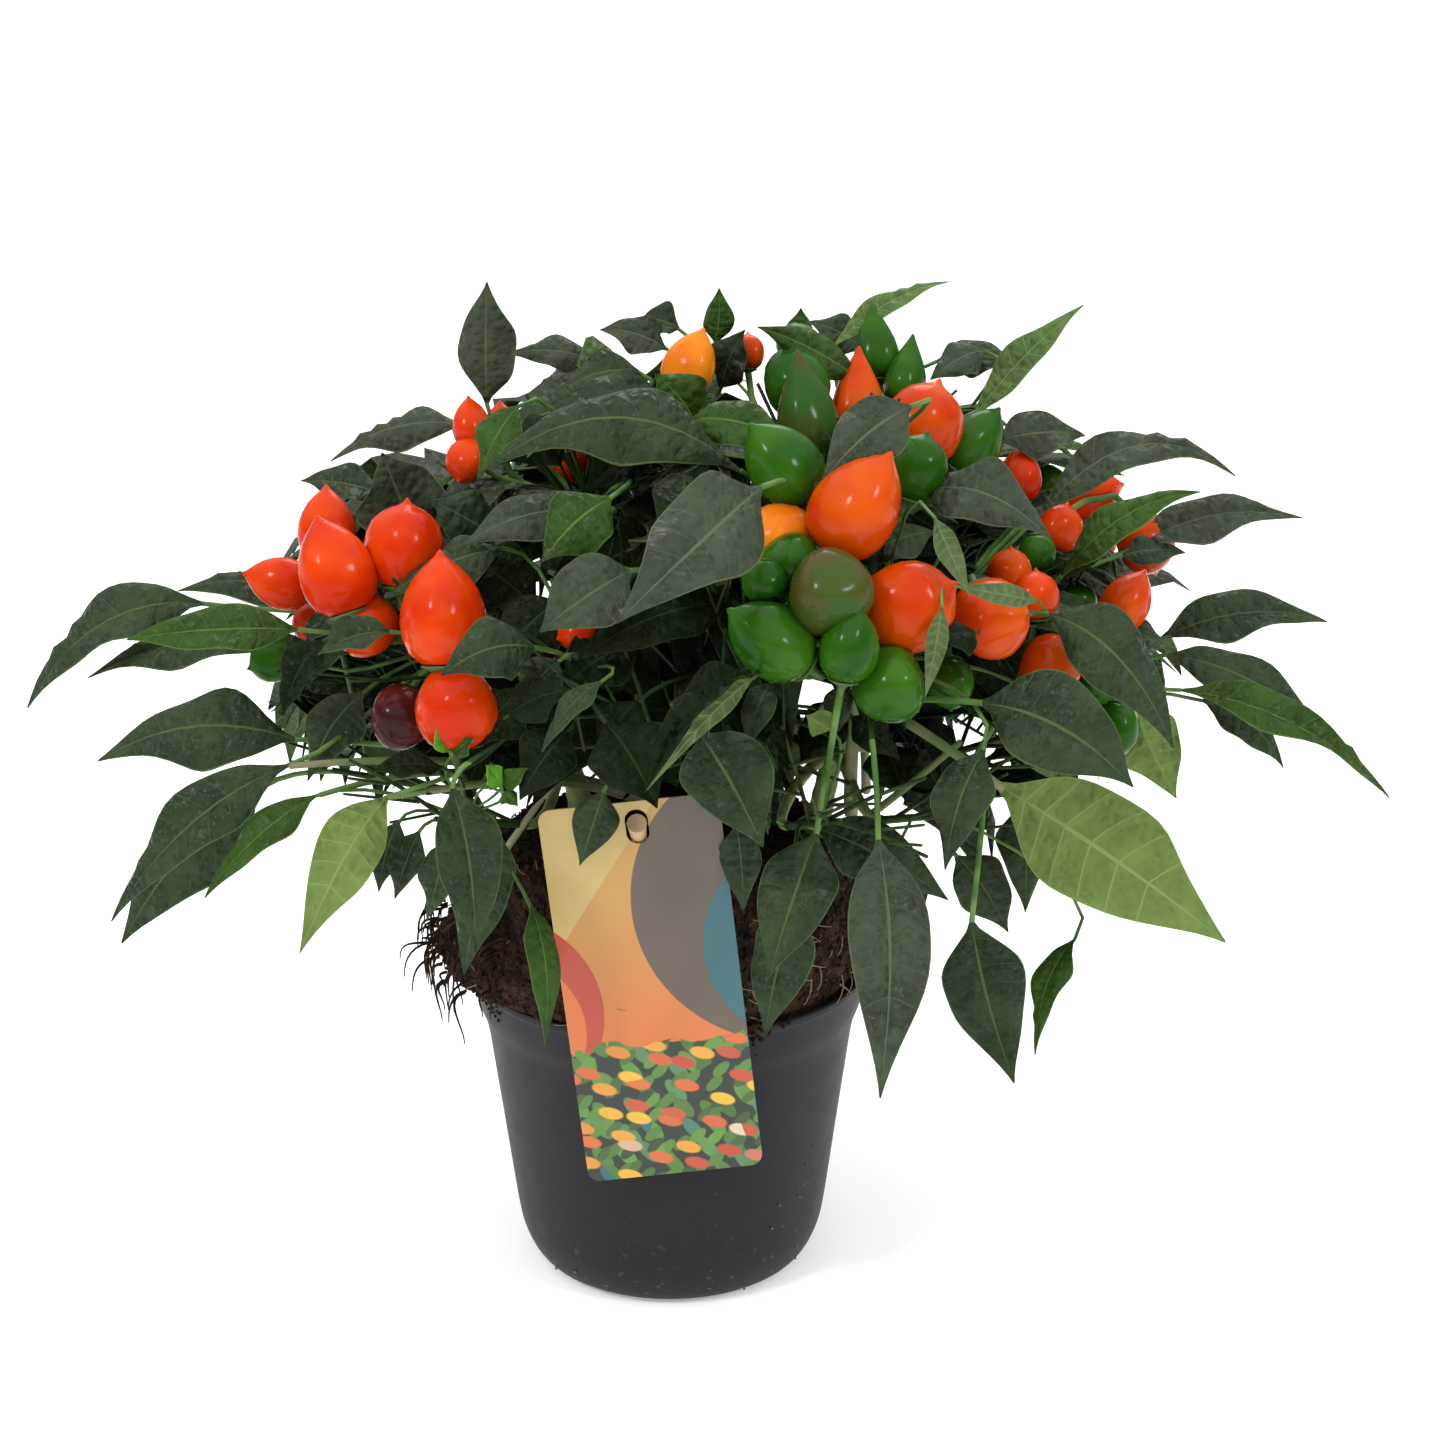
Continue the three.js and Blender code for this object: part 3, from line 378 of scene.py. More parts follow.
# The leaves and fruit that show, each where the camera sees it in a picture of 1445 by 1445 points:
# across and down for its foot and its tip, and how far back of the pot's axis each of these lies, in mm.
# Then the blade's width; its arch, a share of its length; the turn of its face from the viewer, upward,
# 180 where its underside shows; its tint, k with painted shade (a much darker copy of d), d dark, g grey
# with painted sheen (a lighter, greyer copy of d), f fresh, p pale, y young; and, for some, its fold.
seenLeaves = [
    # left side
    (205, 604, 28, 708, -10, -20, 34, 0.22, 38, "d"), (300, 630, 127, 640, -62, -70, 26, 0.07, 30, "f"),
    (296, 645, 88, 678, -25, -20, 26, 0.1, 50, "d"), (333, 617, 178, 591, 10, 30, 22, 0.12, 50, "d"),
    (467, 425, 331, 461, 60, 70, 22, 0.14, 45, "g"), (385, 495, 301, 481, 30, 30, 24, 0.1, 40, "d"),
    (298, 740, 98, 761, -60, -60, 36, 0.12, 32, "d"), (290, 765, 112, 921, -80, -90, 30, 0.16, 25, "d", 26),
    (264, 786, 122, 943, -30, -40, 42, 0.1, 20, "d"),
    (318, 795, 205, 898, -90, -100, 20, 0.12, 40, "f", 24),
    (388, 796, 300, 953, -100, -120, 28, 0.18, 170, "f"),
    (452, 786, 476, 951, -122, -135, 30, 0.08, 15, "d"), (495, 820, 464, 975, -92, -100, 28, 0.08, 10, "d"),
    (443, 768, 372, 772, -110, -120, 16, 0.08, 40, "k"), (400, 820, 379, 892, -90, -96, 16, 0.08, 20, "d"),
    (420, 830, 395, 899, -94, -98, 16, 0.08, 15, "d"), (448, 840, 427, 920, -100, -104, 18, 0.08, 20, "d"),
    (365, 692, 308, 781, -62, -70, 24, 0.1, 20, "d"), (392, 632, 318, 655, -92, -96, 22, 0.12, 30, "d", 40),
    (325, 640, 283, 716, -80, -88, 22, 0.1, 35, "k", 34), (330, 668, 250, 660, -40, -44, 22, 0.1, 35, "d"),
    (360, 600, 305, 690, -30, -40, 26, 0.1, 30, "d"),
    # top left
    (487, 406, 487, 282, 20, 10, 27, 0.04, 12, "g"), (420, 545, 382, 453, 0, -12, 40, 0.05, 10, "g"),
    (598, 362, 507, 355, 60, 60, 18, 0.1, 40, "g"), (668, 350, 600, 330, 80, 80, 20, 0.1, 35, "g"),
    (715, 345, 719, 288, 60, 60, 15, 0.02, 10, "f"), (700, 432, 655, 374, -22, -32, 28, 0.05, 10, "f"),
    (600, 410, 495, 440, -12, -14, 26, 0.14, 35, "d"), (742, 472, 483, 471, -60, -72, 34, 0.24, 35, "d"),
    (520, 405, 478, 480, -40, -50, 20, 0.1, 35, "f"), (655, 445, 585, 492, -50, -60, 26, 0.1, 30, "k"),
    (596, 512, 463, 545, -62, -72, 26, 0.12, 30, "g"), (612, 497, 542, 562, -80, -90, 30, 0.06, 15, "f"),
    (640, 372, 560, 392, 30, 24, 24, 0.1, 30, "d"), (570, 432, 505, 462, -20, -30, 28, 0.1, 20, "k"),
    (720, 390, 745, 330, 40, 30, 22, 0.05, 25, "d"), (660, 395, 560, 420, 10, 0, 26, 0.12, 30, "d"),
    (690, 420, 790, 445, -40, -50, 26, 0.1, 30, "f"), (680, 330, 640, 320, 90, 90, 20, 0.1, 40, "d"),
    (500, 540, 430, 500, -20, -30, 30, 0.08, 20, "d"),
    # middle
    (632, 570, 540, 632, -110, -122, 36, 0.08, 15, "g"), (762, 487, 617, 623, -120, -195, 40, 0.1, 5, "g"),
    (505, 548, 385, 598, -64, -72, 24, 0.12, 32, "d"), (470, 556, 540, 612, -50, -60, 34, 0.08, 20, "k"),
    (540, 520, 480, 580, -30, -40, 30, 0.08, 20, "k"), (772, 681, 748, 748, -116, -124, 15, 0.08, 20, "d"),
    (842, 684, 836, 736, -112, -118, 14, 0.08, 20, "d"), (850, 716, 900, 760, -90, -96, 18, 0.08, 20, "k"),
    (736, 822, 743, 912, -88, -88, 18, 0.04, 8, "d"), (603, 681, 542, 752, -128, -136, 12, 0.1, 40, "d"),
    (508, 716, 572, 690, -118, -126, 20, 0.08, 20, "k"),
    (560, 660, 520, 705, -112, -118, 20, 0.08, 20, "d"), (646, 738, 678, 786, -90, -96, 26, 0.08, 20, "k"),
    (537, 648, 441, 676, -122, -140, 28, 0.14, 24, "d"), (735, 602, 578, 660, -100, -112, 28, 0.1, 28, "k"),
    (640, 640, 560, 690, -90, -100, 30, 0.08, 25, "k"), (700, 650, 770, 700, -95, -104, 30, 0.08, 25, "k"),
    (605, 722, 657, 808, -132, -142, 36, 0.1, 12, "k"), (604, 790, 580, 865, -117, -122, 20, 0.06, 10, "d"),
    (752, 676, 645, 792, -145, -200, 25, 0.12, 40, "k", 48),
    (700, 735, 763, 847, -145, -175, 40, 0.08, 8, "d"),
    (530, 905, 545, 1045, -106, -114, 16, 0.14, 30, "f"),
    (570, 730, 520, 800, -110, -118, 26, 0.08, 15, "k"),
    (640, 700, 600, 760, -112, -120, 24, 0.08, 25, "k"), (560, 600, 500, 660, -80, -92, 30, 0.08, 20, "k"),
    (690, 560, 640, 600, -90, -100, 28, 0.1, 20, "d"), (730, 540, 790, 500, -60, -62, 24, 0.1, 25, "k"),
    (520, 690, 470, 750, -100, -110, 26, 0.08, 20, "k"), (502, 788, 528, 768, -112, -118, 9, 0.06, 20, "f"),
    (502, 788, 486, 765, -114, -120, 9, 0.06, 25, "y"), (502, 792, 518, 806, -116, -120, 8, 0.06, 20, "f"),
    (450, 752, 436, 728, -112, -116, 10, 0.05, 20, "y"),
    (452, 754, 474, 738, -112, -116, 10, 0.05, 25, "f"),
    # top right
    (830, 350, 949, 282, 40, 60, 13, 0.1, 40, "p"), (862, 382, 757, 327, 20, 10, 20, 0.1, 30, "f"),
    (800, 352, 801, 308, 60, 60, 15, 0.02, 12, "f"), (865, 352, 808, 322, 60, 60, 19, 0.1, 35, "g"),
    (970, 422, 1084, 305, 20, 20, 17, 0.06, 34, "p"), (935, 362, 1027, 372, 60, 60, 20, 0.12, 40, "d"),
    (996, 442, 1085, 436, 20, 30, 24, 0.12, 32, "g"), (1034, 520, 1235, 476, -10, 0, 24, 0.26, 40, "g"),
    (1060, 578, 1200, 492, -40, -50, 20, 0.16, 38, "f"), (1125, 552, 1302, 518, 20, 20, 26, 0.1, 42, "g"),
    (912, 406, 822, 482, -90, -100, 30, 0.1, 15, "g"), (917, 492, 1052, 540, -60, -92, 30, 0.14, 26, "g"),
    (935, 532, 846, 572, -80, -82, 20, 0.12, 35, "d"), (1120, 556, 1185, 553, 10, 14, 16, 0.1, 40, "d"),
    (900, 520, 960, 560, -60, -66, 24, 0.1, 26, "k"), (985, 350, 930, 380, 50, 40, 20, 0.1, 30, "g"),
    (760, 700, 735, 770, -104, -110, 26, 0.08, 20, "k"), (835, 700, 800, 765, -40, -50, 26, 0.08, 25, "k"),
    (880, 740, 905, 800, -40, -50, 26, 0.08, 25, "k"), (610, 690, 545, 745, -60, -80, 30, 0.08, 20, "k"),
    (690, 690, 660, 745, -70, -90, 30, 0.08, 20, "k"), (560, 740, 490, 790, -60, -70, 28, 0.08, 20, "k"),
    (660, 610, 600, 640, -80, -90, 30, 0.08, 20, "k"),
    # right side
    (934, 516, 970, 596, -118, -126, 10, 0.05, 172, "g", 8),
    (1040, 602, 952, 586, -112, -126, 9, 0.06, 172, "g", 8),
    (942, 606, 925, 698, -126, -136, 9, 0.05, 172, "g", 8),
    (754, 678, 647, 790, -146, -203, 8, 0.14, 168, "d", 8),
    (975, 632, 940, 640, -112, -126, 18, 0.06, 25, "k"), (1158, 640, 1327, 622, 10, 10, 26, 0.12, 38, "d"),
    (1165, 655, 1322, 732, 0, -10, 28, 0.14, 38, "d"),
    (1178, 690, 1389, 798, -20, -20, 24, 0.14, 40, "f", 24),
    (1200, 700, 1283, 768, 20, 20, 22, 0.12, 35, "d"), (1047, 614, 1173, 748, -80, -90, 34, 0.22, 24, "d"),
    (1133, 706, 1176, 798, -20, -20, 30, 0.08, 172, "f"),
    (980, 703, 1133, 787, -110, -120, 44, 0.16, 14, "d"),
    (995, 783, 1225, 942, -80, -84, 50, 0.05, 174, "f", 6),
    (1060, 775, 1091, 868, -50, -56, 20, 0.06, 14, "d"),
    (985, 748, 945, 870, -120, -126, 24, 0.08, 14, "d"),
    (1020, 800, 1025, 912, -40, -46, 24, 0.06, 20, "d"), (955, 855, 1008, 932, -70, -76, 28, 0.08, 14, "d"),
    (971, 920, 1014, 1083, -125, -150, 35, 0.06, 6, "d"),
    (1076, 938, 1035, 1055, -60, -70, 17, 0.14, 40, "f"),
    (878, 838, 880, 1098, -150, -219, 36, 0.05, 4, "g"), (817, 832, 768, 978, -135, -165, 33, 0.06, 8, "d"),
    (795, 905, 765, 1035, -110, -121, 30, 0.08, 20, "d"), (815, 828, 948, 900, -90, -102, 30, 0.1, 20, "d"),
    (832, 730, 806, 715, -120, -122, 13, 0.04, 175, "f"), (900, 870, 925, 905, -80, -84, 20, 0.08, 20, "d"),
    (1030, 690, 1080, 740, -60, -66, 26, 0.1, 25, "d"), (1115, 640, 1165, 640, -30, -30, 20, 0.1, 40, "d"),
]
# Fruit: across, down and how far back of the axis; width; the way of the nose round the picture, 90
# up; its lean to the viewer; its ripeness, r red, o orange, a amber, g green, t turning, p purple; shape.
seenFruits = [
    (328, 533, 0, 24, 92, 0, "r", "pointed"), (337, 576, -62, 30, 108, 5, "r", "pointed"),
    (404, 550, -52, 31, 85, 8, "r", "round"), (285, 584, -30, 21, 165, 10, "r", "pointed"),
    (367, 625, -60, 24, 240, 40, "r", "blunt"), (443, 622, -92, 33, 92, 5, "r", "pointed"),
    (457, 708, -100, 32, 300, 55, "r", "blunt"), (402, 716, -80, 24, 260, 50, "p", "blunt"),
    (540, 672, -82, 19, 120, 30, "p", "round"), (312, 622, -20, 15, 250, 20, "r", "round"),
    (471, 428, 10, 16, 95, 0, "r", "pointed"), (468, 460, 0, 17, 250, 20, "r", "round"),
    (503, 436, 30, 18, 95, 0, "r", "pointed"), (574, 461, 20, 16, 250, 0, "r", "round"),
    (578, 632, -86, 14, 200, 20, "r", "round"), (535, 520, -10, 14, 200, 20, "r", "round"),
    (689, 370, 20, 22, 70, 10, "a", "pointed"), (748, 354, 40, 14, 90, 0, "o", "round"),
    (796, 384, 10, 27, 105, -20, "g", "round"), (806, 418, -24, 25, 98, 10, "t", "long"),
    (876, 352, 40, 19, 95, 0, "g", "long"), (857, 404, 16, 22, 88, 0, "o", "long"),
    (920, 428, -20, 32, 68, 5, "o", "round"), (915, 470, -60, 24, 72, 10, "g", "round"),
    (970, 446, 0, 24, 52, 0, "g", "pointed"), (786, 470, -80, 28, 130, 20, "g", "pointed"),
    (853, 514, -102, 33, 58, 15, "o", "pointed"), (781, 537, -90, 26, 200, 10, "a", "round"),
    (791, 565, -108, 23, 260, 50, "g", "blunt"), (765, 581, -120, 16, 200, 30, "g", "blunt"),
    (829, 594, -126, 31, 60, 60, "t", "blunt"), (776, 644, -130, 28, 145, 20, "g", "pointed"),
    (848, 651, -135, 22, 80, 15, "g", "pointed"), (889, 684, -125, 27, 280, 50, "g", "blunt"),
    (905, 608, -110, 34, 25, 15, "o", "round"), (990, 618, -90, 29, 290, 40, "o", "blunt"),
    (1035, 598, -60, 18, 90, 10, "r", "round"), (1050, 666, -70, 24, 250, 10, "o", "pointed"),
    (1125, 605, -30, 20, 60, 0, "o", "pointed"), (1020, 480, 20, 18, 90, 0, "r", "pointed"),
    (1058, 530, 10, 19, 70, 0, "r", "round"), (1096, 682, -40, 17, 270, 10, "g", "round"),
    (1115, 727, -40, 21, 270, 10, "g", "round"), (1078, 603, 0, 15, 90, 0, "g", "round"),
    (950, 682, -72, 19, 270, 20, "g", "round"), (1037, 553, -10, 15, 270, 10, "g", "round"),
    (838, 498, -70, 22, 90, 0, "g", "round"), (800, 345, 40, 18, 150, 0, "g", "round"),
    (905, 380, 30, 18, 80, 0, "g", "long"), (275, 660, -40, 18, 200, 20, "g", "round"),
    (1010, 575, -50, 18, 90, 20, "o", "round"),
]
# Leaf stalks that show, each ending at its leaf's foot.
seenStalks = [
    [(872, 740, -128), (878, 790, -142), (878, 838, -150)],
    [(826, 765, -116), (821, 800, -128), (817, 832, -135)],
    [(984, 800, -112), (979, 865, -118), (971, 920, -125)],
    [(908, 700, -100), (945, 698, -108), (980, 703, -110)],
    [(410, 748, -62), (350, 740, -60), (298, 740, -60)],
    [(1120, 682, -20), (1150, 690, -22), (1178, 690, -20)],
    [(470, 762, -118), (456, 768, -122), (452, 786, -122)],
    [(460, 772, -100), (420, 788, -102), (388, 796, -100)],
]
# Branches that show: spots across, down and how far back, and the radius at either end.
seenBranches = [
    {"spots": [(868, 700, -60), (905, 718, -96), (965, 760, -92), (1002, 788, -84)], "radii": (2.2, 1.7)},
    {"spots": [(851, 812, -8), (850, 780, -30), (852, 740, -50), (858, 690, -60)], "radii": (3.1, 2.3)},
    {"spots": [(866, 790, 20), (866, 760, 0), (862, 720, -20)], "radii": (2.2, 1.7)},
    {"spots": [(500, 858, -40), (520, 830, -60), (540, 800, -80), (556, 780, -86)], "radii": (1.6, 1.2)},
    {"spots": [(640, 800, -20), (560, 770, -70), (500, 780, -100), (388, 797, -101)], "radii": (2.2, 1.3)},
    {"spots": [(620, 790, -20), (540, 765, -60), (440, 752, -84), (290, 766, -80)], "radii": (2.2, 1.3)},
    {"spots": [(850, 830, -20), (905, 790, -60), (960, 742, -80)], "radii": (1.8, 1.3)},
    {"spots": [(640, 790, 0), (480, 760, -40), (400, 770, -80), (320, 795, -90)], "radii": (1.8, 1.1)},
]
# The edge of the foliage in the picture, and gaps where it shows sky.
crownEdge = [
    (500, 385), (560, 345), (640, 315), (720, 312), (820, 315), (900, 322), (960, 350), (1030, 365),
    (1060, 425), (1150, 455), (1205, 500), (1215, 560), (1195, 640), (1185, 700), (1150, 750), (1090, 790),
    (1040, 870), (985, 900), (935, 895), (860, 870), (780, 850), (700, 800), (560, 800), (500, 860),
    (440, 880), (395, 830), (330, 790), (262, 745), (262, 690), (292, 640), (268, 575), (320, 500),
    (360, 455), (440, 440),
]
skyGaps = [[(800, 680), (830, 680), (835, 715), (800, 712)],
           [(955, 722), (985, 722), (985, 742), (955, 742)],
           [(895, 825), (918, 825), (918, 850), (895, 850)],
           [(470, 770), (492, 770), (492, 792), (470, 792)],
           [(408, 795), (436, 795), (436, 830), (408, 830)],
           [(526, 585), (545, 585), (545, 603), (526, 603)]]
eye = np.array([22.5, -1064.0, 571.0])
lookDown = 17.3
focalPoints = 2668  # focal length in the picture's points
pictureMiddle = 722.5
forward = np.array([0, math.cos(radians(lookDown)), -math.sin(radians(lookDown))])
pictureUp = np.array([0, math.sin(radians(lookDown)), math.cos(radians(lookDown))])
pictureRight = np.array([1.0, 0, 0])


def seenAt(across, down, back):  # the point that far back of the pot's axis that shows there
    aside = pictureRight * (across - pictureMiddle) / focalPoints
    ray = forward + aside - pictureUp * (down - pictureMiddle) / focalPoints
    return eye + ray * (back - eye[1]) / ray[1]


def picturePlace(points):
    off = np.asarray(points) - eye
    depth = off @ forward
    return off[..., 0] / depth * focalPoints, off @ pictureUp / depth * focalPoints, depth


print("plan:", len(masses), "masses,", len(seenLeaves), "leaves and", len(seenFruits), "fruit that show")


# Leaves: closed thin shells in their own outline, with the midrib, the laterals and the margin as zones

blade = {
    "outline": [(0, 0.04), (0.05, 0.11), (0.12, 0.38), (0.2, 0.7), (0.29, 0.93), (0.39, 1), (0.5, 0.96),
                (0.6, 0.83), (0.7, 0.63), (0.8, 0.4), (0.88, 0.22), (0.95, 0.09), (1, 0.015)],
    "rounding": (-0.05, -0.02, 0.02, 0.05),
    "thickness": 0.4, "slant": 0.36, "laterals": [0.12, 0.2, 0.29, 0.4, 0.52, 0.65], "lateralsEnd": 0.79,
    "lateralWidth": 0.0065, "quilt": 2.6, "midrib": 0.035, "margin": 0.972, "wave": 0.17, "uneven": 0.04,
    "unevenWaves": 14, "waves": 13, "slowWaves": 8, "hookFrom": 0.6, "quiltLength": 90,
    "ribSunk": (0.2, 0.5), "stations": (0, 0.12, 0.27, 0.45, 0.65, 0.84, 1),
    "tipStations": (0.8, 0.88, 0.95, 1),
}
zoneNames = ["top", "rib", "lateral", "under", "under_vein"]


def bladeGrid(detailed):  # stations along, places across, quilting of each station, zones of the faces
    rows = [(place, 0) for place in blade["stations"]]
    if detailed:
        rows = [(0, 0), (0.05, 0)]
        for place, after in zip(blade["laterals"], [*blade["laterals"][1:], blade["lateralsEnd"]]):
            rows += [(place, 0), (place + blade["lateralWidth"], 0), ((place + after) / 2, 1)]
        rows += [(place, 0) for place in blade["tipStations"]]
    rib, edge = blade["midrib"], blade["margin"]
    half = [rib, 0.3, 0.65, edge, 1] if detailed else [rib, edge - 0.01, 1]
    across = [-v for v in reversed(half)] + half
    count, wide = len(rows), len(across)
    under = count * wide
    faces, zones = [], []
    for i in range(count - 1):
        lateral = detailed and rows[i][0] in blade["laterals"]
        for j in range(wide - 1):
            a = i * wide + j
            b, c, d = a + 1, a + 1 + wide, a + wide
            vein = j == wide // 2 - 1 or j in (0, wide - 2)
            faces += [(a, d, c, b), (under + a, under + b, under + c, under + d)]
            above = "rib" if vein else "lateral" if lateral else "top"
            below = "under_vein" if vein or lateral else "under"
            zones += [zoneNames.index(above), zoneNames.index(below)]
    skins = len(faces)
    for i in range(count - 1):
        a, d = i * wide, (i + 1) * wide
        faces.append((d, under + d, under + a, a))
        a, d = a + wide - 1, d + wide - 1
        faces.append((a, under + a, under + d, d))
    for j in range(wide - 1):
        a, b = j, j + 1
        faces.append((a, under + a, under + b, b))
        a, b = a + (count - 1) * wide, b + (count - 1) * wide
        faces.append((b, under + b, under + a, a))
    rims = len(faces) - skins
    places, quilts = (np.array(column)[:, None] for column in zip(*rows))
    return {"u": places, "quilt": quilts, "v": np.array(across)[None, :], "faces": np.array(faces),
            "zones": np.array(zones + [zoneNames.index("rib")] * rims),
            "flat": [False] * skins + [True] * rims}


grids = {True: bladeGrid(True), False: bladeGrid(False)}
evenGrid = {"u": np.linspace(0, 1, 32)[:, None], "quilt": np.zeros((32, 1)),
            "v": np.linspace(-1, 1, 13)[None, :]}


def bladePoints(leaf, grid):
    u = grid["u"] + blade["slant"] * np.abs(grid["v"]) * grid["u"] * (1 - grid["u"]) ** 1.5
    v = np.broadcast_to(grid["v"], u.shape)
    ends = (1 - np.abs(2 * u - 1)).clip(0, 1)
    half = sum(np.interp(u + s * ends, *zip(*blade["outline"])) for s in blade["rounding"]) / 4
    phase = leaf["phase"]
    half = half * leaf["width"] / 2 * (
        1 + blade["uneven"] * np.sin(u * blade["unevenWaves"] + phase * 3 + v * 2))
    curl = np.clip(u - blade["hookFrom"], 0, 1)
    lift = 4 * leaf["arch"] * u * (1 - u) - leaf["hook"] * curl ** 2
    slope = 4 * leaf["arch"] * (1 - 2 * u) - 2 * leaf["hook"] * curl
    along, length = leaf["along"], leaf["length"]
    centre = leaf["foot"] + along * (length * u)[..., None] + leaf["lift"] * (length * lift)[..., None]
    sway = leaf["sway"] * length * np.sin(u * math.pi)
    centre = centre + np.cross(leaf["normal"], along) * sway[..., None]
    tangent = along + leaf["lift"] * slope[..., None]
    tangent /= np.linalg.norm(tangent, axis=-1, keepdims=True)
    side = np.cross(leaf["normal"], tangent)
    side /= np.linalg.norm(side, axis=-1, keepdims=True)
    twist = radians(leaf["twist"]) * u[..., None]
    side = side * np.cos(twist) + np.cross(tangent, side) * np.sin(twist)
    normal = np.cross(tangent, side)
    fold = radians(leaf["fold"])
    out = np.abs(v)
    wave = np.sin(u * blade["waves"] + phase) * out ** 3
    wave = wave + np.where(v > 0, 1, -1) * np.sin(u * blade["slowWaves"] + phase * 2) * out ** 2
    quilt = grid["quilt"] * 4 * out * (1 - out) * blade["quilt"] * length / blade["quiltLength"]
    rise = half * (out * math.sin(fold) + blade["wave"] * wave - leaf["cup"] * out ** 2) + quilt
    rib = out <= blade["midrib"] + 1e-6
    sunk, proud = blade["ribSunk"]
    middle = centre + side * (half * v * math.cos(fold))[..., None]
    upper = middle + normal * (rise + blade["thickness"] / 2 - rib * sunk)[..., None]
    lower = middle + normal * (rise - blade["thickness"] / 2 - rib * proud * (1 - u))[..., None]
    return np.concatenate([upper.reshape(-1, 3), lower.reshape(-1, 3)])


tints = "kdgfpy"
leafHeaps = {"left": Heap(), "right": Heap(), "back": Heap()}


def addLeaf(leaf, index, detailed):
    grid = grids[detailed]
    zones = grid["zones"] + len(zoneNames) * tints.index(leaf["tint"])
    leafHeaps[masses[index]["stem"]].add(bladePoints(leaf, grid), grid["faces"], zones, grid["flat"])


leafLimits = {"fold": (3, 23), "cup": (0.1, 0.45), "hook": (0.3, 1.8), "twist": (-25, 25),
              "phase": (0, 6.28), "sway": (-0.1, 0.1)}


def leafStyle(index, item):  # what differs from leaf to leaf
    return {key: between(limits, index, item, 21 + k) for k, (key, limits) in enumerate(leafLimits.items())}


def stalkLine(root, foot, end, count=7):  # leaves its twig upward and bends into its blade
    span = np.linalg.norm(foot - root)
    lead = unit(foot - root + np.array([0, 0, span * 0.35]))
    corners = [root, root + lead * span * 0.35, foot - end * span * 0.3, foot + end]
    return curve(corners, count)


def bladeStart(leaf):  # the way that an arched blade leaves its stalk
    return unit(leaf["along"] + leaf["lift"] * 4 * leaf["arch"])


def graded(line, *radii):  # a line with the radius at each of its points, from the root's to the tip's
    return line, np.interp(np.linspace(0, 1, len(line)), np.linspace(0, 1, len(radii)), radii)


# Limbs and stalks, swept along their lines by Geometry Nodes

def sweepTree():
    nodes, given = growTree("sweep", {"Sides": "Int", "Material": "Material"})
    ring = nodes.node("GeometryNodeCurvePrimitiveCircle", {}, {
        "Resolution": given.out("Sides"), "Radius": 1.0}).out("Curve")
    width = nodes.attribute("width")
    line = nodes.node("GeometryNodeMeshToCurve", {}, {"Mesh": given.out("Geometry")}).out()
    wide = nodes.node("GeometryNodeSetCurveRadius", {}, {"Curve": line, "Radius": width}).out()
    swept = nodes.node("GeometryNodeCurveToMesh", {}, {
        "Curve": wide, "Profile Curve": ring, "Scale": width, "Fill Caps": True}).out()
    closeTree(nodes, swept, given.out("Material"))
    return nodes


sweeping = sweepTree()


def sweep(name, lines, material, sides):  # each line: its points and the radius at each of them
    points = np.concatenate([p for p, _ in lines]) * mm
    radii = np.concatenate([r for _, r in lines]) * mm
    edges, start = [], 0
    for line, _ in lines:
        edges += [(start + k, start + k + 1) for k in range(len(line) - 1)]
        start += len(line)
    mesh = bpy.data.meshes.new(name + "_lines")
    mesh.from_pydata(points.tolist(), edges, [])
    mesh.attributes.new("width", "FLOAT", "POINT").data.foreach_set("value", radii.astype(np.float32))
    made = runTree(name, sweeping, {"Sides": sides, "Material": material}, mesh)
    made.data.polygons.foreach_set("use_smooth", [True] * len(made.data.polygons))
    return made


stemGreen = Finish("stem_green", {"Specular IOR Level": 0.15})
streaks = stemGreen.noise(220, 4)
stemTone = stemGreen.steps(streaks, 0.35, 0.7)
stemGreen.wear({
    "Base Color": stemGreen.blend(stemTone, (0.13, 0.19, 0.055), (0.27, 0.29, 0.13)),
    "Roughness": streaks * 0.2 + 0.45,
    "Normal": stemGreen.relief(stemGreen.noise(900, 4), 0.5, 0.0004)})
stalkSkins = {}
# The twigs' colours, far darker than the stalks', are painted shade for the stalks inside the crown.
for name, deepTone, paleTone in (("twig", (0.012, 0.029, 0.007), (0.03, 0.06, 0.014)),
                                 ("stalk", (0.05, 0.12, 0.022), (0.12, 0.22, 0.055))):
    stalkSkin = Finish(name + "_green", {"Specular IOR Level": 0.15})
    tone = stalkSkin.noise(60, 2)
    stalkSkins[name] = stalkSkin.wear({
        "Base Color": stalkSkin.blend(stalkSkin.steps(tone, 0.4, 0.65), deepTone, paleTone),
        "Roughness": tone * 0.2 + 0.4,
        "Normal": stalkSkin.relief(stalkSkin.noise(1200, 2), 0.25, 0.0002)})

limbSettings = {"stemRadius": (5.4, 3.8), "flare": 1.9, "stemSides": 14, "boughSides": 8, "ridge": 0.05,
                "uneven": 0.04, "stemRings": 22, "boughRings": 16}


def tube(count, sides):  # faces between rings of points
    faces = []
    for k in range(count - 1):
        for s in range(sides):
            a, b = k * sides + s, k * sides + (s + 1) % sides
            faces.append((a, b, b + sides, a + sides))
    return faces


